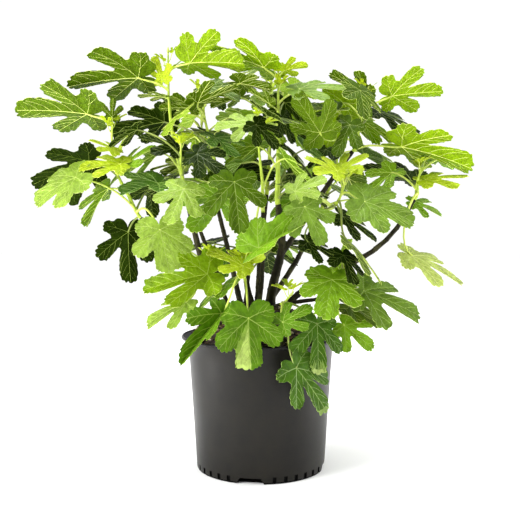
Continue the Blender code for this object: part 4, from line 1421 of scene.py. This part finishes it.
def make_buds(shoots, kept, skin):
    """The pointed bud at the tip of each shoot, and a small one in the axil of each leaf."""
    batch = Batch()
    tube = tubes_for(kept, 8, len(BUD_SHARES))
    for shoot in shoots.values():
        way = (shoot.axis[-1] - shoot.axis[-2]).normalized()
        points = [shoot.axis[-1] + way * BUD_LENGTH * share for share in BUD_SHARES]
        batch.add(*bent_tube(tube, points, [shoot.radii[-1] * wide for wide in BUD_WIDTHS]))
        for leaf in shoot.leaves:
            foot = shoot.at(leaf.share)
            away = (leaf.stalk[1] - foot).normalized()
            way = (away * 0.5 + UP).normalized()
            start = foot + away * SIDE_BUD_OUT + UP * SIDE_BUD_OUT
            points = [start + way * BUD_LENGTH * SIDE_BUD * share for share in BUD_SHARES]
            batch.add(*bent_tube(tube, points, [SIDE_BUD_RADIUS * wide for wide in BUD_WIDTHS]))
    settled(batch.make("buds", [skin], 50), "foliage", *SHOOTS)


def dealt_tint(leaf, chance):
    """The tint of a leaf of the spiral, by how high it stands in the crown: darker low down, partly as
    painted shade, and brighter high up, partly as painted light.
    """
    tints = HIGH_TINTS if leaf.stalk[-1].z > HIGH_FROM else LOW_TINTS
    return chance.choices(list(tints), list(tints.values()))[0]


def young_leaves(shoot, chance):
    """The small folded leaves round a shoot's tip."""
    leaves = []
    start = chance.uniform(0, math.tau)
    for number, (share, far, high) in enumerate(YOUNG_PLACES):
        foot = shoot.at(share)
        bearing = start + number * NEXT_LEAF_TURN
        out = Vector((math.cos(bearing), math.sin(bearing), 0))
        junction = foot + out * far + UP * high
        along = (out * 0.8 + UP * chance.uniform(0.2, 0.9)).normalized()
        normal = along.cross(UP.cross(out).normalized()).normalized()
        if normal.z < 0:
            normal = -normal
        stalk = (foot, foot + out * 0.005, junction - along * 0.004, junction)
        size = chance.uniform(*YOUNG_SIZES) * (1 - 0.15 * number)
        leaf = Leaf(share, stalk, along, normal, size, "palm", chance.uniform(*YOUNG_FOLDS))
        leaf.tint = "yellow"
        leaves.append(leaf)
    return leaves


def blade_finishes(tint, upper, under, vein):
    """The materials of one tint's blades, slot by slot."""
    share = LOW_VEIN if tint in HIGHLIGHTED_TINTS else UPPER_VEIN
    upper_veins = [between(upper, vein, part * share) for part in (0.85, 1.15)]
    sides = [leaf_side(f"leaf_{tint}_upper", upper, UPPER_NET),
             leaf_side(f"leaf_{tint}_under", under, UNDER_NET, 0.6),
             green_skin(f"vein_{tint}", scaled(vein, 1.02), scaled(vein, 1.14), 0.5),
             green_skin(f"upper_vein_{tint}", *upper_veins, 0.5)]
    # Tints that may have painted highlights get pale copies of their upper side, at full and half strength,
    # as painted highlight
    if tint in HIGHLIGHTED_TINTS:
        sides += [leaf_side(f"leaf_{tint}_{name}", between(upper, HIGHLIGHT_COLOUR, part), UPPER_NET)
                  for name, part in HIGHLIGHT_SHARES.items()]
    return sides


def make_leaves(shoots, kept, skins):
    """All the blades, one piece to each tint, and all their stalks."""
    templates = {form: [leaf_template(form, 40 * number + len(form), kept) for number in range(VARIANTS)]
                 for form in FORMS}
    small = [leaf_template("palm", 900 + number, kept, True) for number in range(VARIANTS)]
    blades = {tint: Batch() for tint in TINTS}
    stalks = Batch()
    tube = tubes_for(kept, STALK_ROUND, STALK_RINGS + 1)
    for number, shoot in enumerate(shoots.values()):
        chance = random.Random(number + 700)
        for leaf in [*shoot.leaves, *young_leaves(shoot, chance)]:
            tint = leaf.tint or dealt_tint(leaf, chance)
            ways = templates[leaf.form] if leaf.size > YOUNG_BELOW else small
            blades[tint].add(*laid_blade(chance.choice(ways), leaf, chance))
            way = arc(*leaf.stalk, STALK_RINGS)
            scale = min(1.0, 0.25 + leaf.size / 0.10)
            wide = np.array(tapered(STALK_FOOT_WIDE, STALK_TOP_WIDE, len(way))) * scale
            wide[[0, -1]] *= STALK_ENDS
            points, faces, slots = bent_tube(tube, way, wide)
            # Stalks of those tints take the second skin, darker as painted shade
            stalks.add(points, faces, slots + (tint in SHADE_STALKED_TINTS))
    for tint, colours in TINTS.items():
        settled(blades[tint].make(f"blades_{tint}", blade_finishes(tint, *colours)), "foliage", *SHOOTS)
    settled(stalks.make("leaf_stalks", skins, 50), "foliage", *SHOOTS)


def scaled(colour, share):
    """A screen colour made darker or lighter by this share."""
    return tuple(min(255, part * share) for part in colour)


def between(low, high, share):
    """The screen colour this share of the way from one to another."""
    return tuple(a + (b - a) * share for a, b in zip(low, high))


def turned(profile, steps):
    """A bmesh turned about the axis from a profile of (radius, height) that starts and ends on it."""
    work = bmesh.new()
    row = [work.verts.new((radius, 0, height)) for radius, height in profile]
    edges = [work.edges.new(pair) for pair in zip(row, row[1:])]
    bmesh.ops.spin(work, geom=row + edges, cent=(0, 0, 0), axis=(0, 0, 1), angle=math.tau,
                   steps=steps, use_merge=True)
    bmesh.ops.remove_doubles(work, verts=work.verts, dist=1e-6)
    bmesh.ops.recalc_face_normals(work, faces=work.faces)
    return work


def wall_radius(height):
    """The radius of the pot's outer wall at this height."""
    return BASE_RADIUS + (WALL_TOP_RADIUS - BASE_RADIUS) * height / POT_HEIGHT


def pot_profile():
    """The pot's section as (radius, height): from the middle of its underside up the wall, round the
    rolled lip, and down inside to the middle of its floor."""
    lip_low = POT_HEIGHT - LIP_DEPTH
    return [(0.0, UNDERSIDE), *[(BASE_RADIUS - inward, height) for inward, height in FOOT],
            *[(wall_radius(height), height) for height in (DIMPLE_LOW, DIMPLE_HIGH, *OUTER_RINGS)],
            (wall_radius(lip_low) + LIP_ROOT, lip_low - 0.0008),
            *[(LIP_RADIUS - inward, POT_HEIGHT - down) for inward, down in LIP],
            (WALL_TOP_RADIUS + LIP_ROOT, POT_HEIGHT - 0.0024),
            (WALL_TOP_RADIUS - POT_WALL, POT_HEIGHT - 0.0034),
            *[(wall_radius(height) - POT_WALL, height) for height in INNER_RINGS],
            (BASE_RADIUS - POT_WALL, FLOOR_THICK), (0.0, FLOOR_THICK)]


def press_dimples(work):
    """Presses dimples into the foot of the wall, and gives them the painted-shade slot: their walls are
    painted near black as shade.
    """
    middle = (DIMPLE_LOW + DIMPLE_HIGH) / 2
    band = [(face, face.calc_center_median()) for face in work.faces]
    band = [(face, place) for face, place in band
            if abs(place.z - middle) < 0.001 and place.xy.length > BASE_RADIUS - POT_WALL / 2]
    band.sort(key=lambda pair: math.atan2(pair[1].y, pair[1].x))
    pressed = [face for face, place in band[::DIMPLE_EVERY] if not by_drain(place)]
    dimples = bmesh.ops.inset_individual(work, faces=pressed, thickness=DIMPLE_SIDE,
                                         depth=-DIMPLE_DEEP, use_even_offset=True)
    for face in [*pressed, *dimples["faces"]]:
        face.material_index = PAINTED_SHADE_SLOT


def make_pot(plastic, painted_shade, lip_plastic):
    """The pot: thin tapered wall, rolled lip, a ring of small dimples and four drain notches."""
    work = turned(pot_profile(), POT_STEPS)
    press_dimples(work)
    for face in work.faces:
        place = face.calc_center_median()
        # The edge of the foot and the lip's channel take painted shade: the near-black copy of the plastic,
        # put where shade falls
        shaded_foot = place.z < DIMPLE_LOW and place.xy.length > BASE_RADIUS - SHADED_FOOT_EDGE
        shaded_channel = place.z > POT_HEIGHT - SHADED_CHANNEL_DEPTH and place.xy.length < LIP_RADIUS - SHADED_CHANNEL_IN
        if shaded_foot or shaded_channel:
            face.material_index = PAINTED_SHADE_SLOT
        elif place.z > POT_HEIGHT - LIP_DEPTH * 1.1:
            face.material_index = LIP_SLOT
    pot = shown(meshed(work, "nursery_pot", plastic, painted_shade, lip_plastic), "nursery_pot", 32)
    cutters = [drain_cutter(number) for number in range(DRAINS)]
    for cutter in cutters:
        cut = pot.modifiers.new("drain", "BOOLEAN")
        cut.operation = "DIFFERENCE"
        cut.solver = "EXACT"
        cut.object = cutter
    graph = bpy.context.evaluated_depsgraph_get()
    pot.data = bpy.data.meshes.new_from_object(pot.evaluated_get(graph))
    pot.modifiers.clear()
    for cutter in cutters:
        bpy.data.objects.remove(cutter)
    settled(pot, "black_plastic", "pot")


def by_drain(point):
    """True where a point of the wall lies over a drain notch."""
    turn = (math.atan2(point.y, point.x) - DRAIN_FIRST) % (math.tau / DRAINS)
    return min(turn, math.tau / DRAINS - turn) < DRAIN_HALF_ANGLE


def drain_cutter(number):
    """The wedge that cuts one drain notch out of the foot of the wall."""
    middle = DRAIN_FIRST + math.tau * number / DRAINS
    work = bmesh.new()
    bmesh.ops.create_cube(work, size=1)
    for vertex in work.verts:
        wide = DRAIN_TOP if vertex.co.z > 0 else DRAIN_FOOT
        angle = middle + math.copysign(DRAIN_HALF_ANGLE, vertex.co.y) * wide
        radius = BASE_RADIUS + math.copysign(DRAIN_REACH_IN, vertex.co.x)
        vertex.co = (radius * math.cos(angle), radius * math.sin(angle),
                     math.copysign(DRAIN_HEIGHT, vertex.co.z))
    work.normal_update()
    bmesh.ops.recalc_face_normals(work, faces=work.faces)
    # The notch's cut faces take the painted-shade slot: painted near black as the shade inside it
    for face in work.faces:
        face.material_index = PAINTED_SHADE_SLOT
    return linked("cutter", meshed(work, "cutter"))


def mix_height(x, y):
    """The height of the potting mix's surface."""
    edge = WALL_TOP_RADIUS - POT_WALL
    flat = math.hypot(x - MIX_TOP_SHIFT, y)
    level = MIX_TOP_RADIUS * MIX_LEVEL
    share = min(1.0, max(0.0, (flat - level) / (edge - level)))
    smooth = share * share * (3 - 2 * share)
    lumps = noise.fractal(Vector((x, y, 0)) * LUMPS, 1.0, 2.0, 4) * LUMP_HEIGHT
    return MIX_TOP - MIX_SUNK + (MIX_EDGE - MIX_TOP) * smooth + lumps


def make_mix(finish):
    """The heaped potting mix."""
    edge = WALL_TOP_RADIUS - POT_WALL - MIX_CLEAR
    rows = [(0.0, MIX_TOP)] + [(edge * step / MIX_RINGS, MIX_TOP) for step in range(1, MIX_RINGS + 1)]
    work = turned([*rows, (BASE_RADIUS - POT_WALL - 0.001, MIX_FOOT), (0.0, MIX_FOOT)], MIX_STEPS)
    for vertex in work.verts:
        if vertex.co.z > (MIX_FOOT + MIX_TOP) / 2:
            vertex.co.z = mix_height(vertex.co.x, vertex.co.y)
    heap = shown(meshed(work, "potting_mix_heap", finish), "potting_mix_heap", 60)
    settled(heap, "potting_mix", "potting_mix")


def make_chips(finishes):
    """The chips of bark that lie in the potting mix, as one piece."""
    chance = random.Random(5)
    edge = (WALL_TOP_RADIUS - POT_WALL - MIX_CLEAR) * 0.97
    batch = Batch()
    for _ in range(CHIPS):
        away = edge * math.sqrt(chance.random())
        angle = chance.uniform(0, math.tau)
        x, y = away * math.cos(angle), away * math.sin(angle)
        flake = bmesh.new()
        bmesh.ops.create_cube(flake, size=1)
        long = chance.uniform(*CHIP_LENGTHS)
        for vertex in flake.verts:
            jitter = Vector(chance.uniform(-CHIP_JITTER, CHIP_JITTER) for _ in range(3))
            vertex.co = (vertex.co + jitter) * long
            vertex.co.y *= chance.uniform(*CHIP_WIDTHS)
            vertex.co.z *= chance.uniform(*CHIP_HEIGHTS)
        turns = [Matrix.Rotation(chance.uniform(low, high), 4, axis) for low, high, axis in CHIP_TURNS]
        place = Matrix.Translation((x, y, mix_height(x, y) + CHIP_LIFT))
        bmesh.ops.transform(flake, matrix=place @ turns[0] @ turns[1] @ turns[2], verts=flake.verts)
        points, faces, slots = frozen(flake)
        batch.add(points, faces, slots + chance.choices((0, 1, 2), CHIP_COLOURS)[0])
    settled(batch.make("bark_chips", finishes, 30), "potting_mix", "potting_mix")


def soft_light(name, place, target, width, height, watts):
    """A rectangular soft light that looks at a point."""
    data = bpy.data.lights.new(name, "AREA")
    data.shape = "RECTANGLE"
    data.size = width
    data.size_y = height
    data.energy = watts
    light = linked(name, data)
    light.location = place
    light.rotation_euler = (Vector(target) - Vector(place)).to_track_quat("-Z", "Y").to_euler()


def make_stage():
    """A pale floor, an even white surrounding, and a few soft lights."""
    work = bmesh.new()
    bmesh.ops.create_grid(work, x_segments=2, y_segments=2, size=FLOOR_SIZE)
    finish = Finish("pale_floor")
    finish.shader.inputs["Base Color"].default_value = grey(0.98)
    finish.shader.inputs["Roughness"].default_value = 0.9
    linked("floor", meshed(work, "floor", finish.material))
    world = bpy.data.worlds.new("surrounding")
    world.use_nodes = True
    world.node_tree.nodes["Background"].inputs["Color"].default_value = (1, 1, 1, 1)
    world.node_tree.nodes["Background"].inputs["Strength"].default_value = 1.03
    bpy.context.scene.world = world
    middle = (0, 0, 0.45)
    soft_light("overhead", (-0.3, 0.2, 2.6), middle, 1.4, 1.4, 92)
    soft_light("left_front", (-1.7, -1.3, 1.0), middle, 0.8, 1.8, 56)
    soft_light("right_edge", (1.6, 0.4, 0.7), middle, 0.4, 1.6, 16)
    beside_pot = (0, 0, POT_HEIGHT / 2)
    soft_light("low_left", (-1.28, -0.25, 0.16), beside_pot, 0.2, 0.3, 6.5)
    soft_light("low_right", (1.28, -0.05, 0.16), beside_pot, 0.2, 0.3, 5.5)
    bpy.context.scene.view_settings.view_transform = "Standard"


def make_camera():
    """The camera that the photograph was taken with, level, with its frame shifted down."""
    data = bpy.data.cameras.new("camera")
    reach = -LOOKED_FROM.y
    data.sensor_width = SENSOR
    data.lens = SENSOR * reach / FRAME_WIDTH
    data.shift_y = (FRAME_MIDDLE.z - LOOKED_FROM.z) / FRAME_WIDTH
    camera = linked("camera", data)
    camera.location = (FRAME_MIDDLE.x, LOOKED_FROM.y, LOOKED_FROM.z)
    camera.rotation_euler = (math.radians(90), 0, 0)
    bpy.context.scene.camera = camera


def main():
    """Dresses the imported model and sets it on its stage."""
    make_camera()
    kept = {}
    axes = limb_axes()
    shoots = grown_shoots(axes)
    make_pot(pot_finish("moulded_plastic", (12, 10, 6), (22, 19, 12), 0.20, 0.36, 0.44),
             # The near-black second copy is painted shade, for the dimples, drain notches, foot's edge and
             # lip's channel
             pot_finish("painted_shade_plastic", (3, 3, 3), (8, 8, 7), 0.04, 0.42, 0.52),
             pot_finish("lip_plastic", (4, 4, 3), (9, 8, 7), 0.20, 0.24, 0.32))
    make_mix(mix_finish("potting_mix_fines", (22, 17, 13), (58, 45, 33), 120))
    make_chips([mix_finish("chip_dark", (30, 22, 16), (70, 52, 36), 160),
                mix_finish("chip_brown", (66, 46, 30), (112, 84, 56), 160),
                mix_finish("chip_pale", (150, 134, 106), (198, 184, 156), 160)])
    make_woods(axes, kept, bark_finish())
    skin = green_skin("shoot_skin", (148, 172, 36), (186, 208, 64), 0.5)
    pale = green_skin("stalk_skin", (176, 196, 66), (206, 220, 100), 0.45)
    # A darker copy of the stalk skin: painted shade
    dark = green_skin("painted_shade_stalk_skin", (96, 112, 36), (136, 150, 56), 0.5)
    make_shoots(shoots, kept, skin)
    make_buds(shoots, kept, green_skin("bud_skin", (120, 140, 48), (176, 186, 84), 0.4))
    make_leaves(shoots, kept, [pale, dark])
    make_stage()


main()
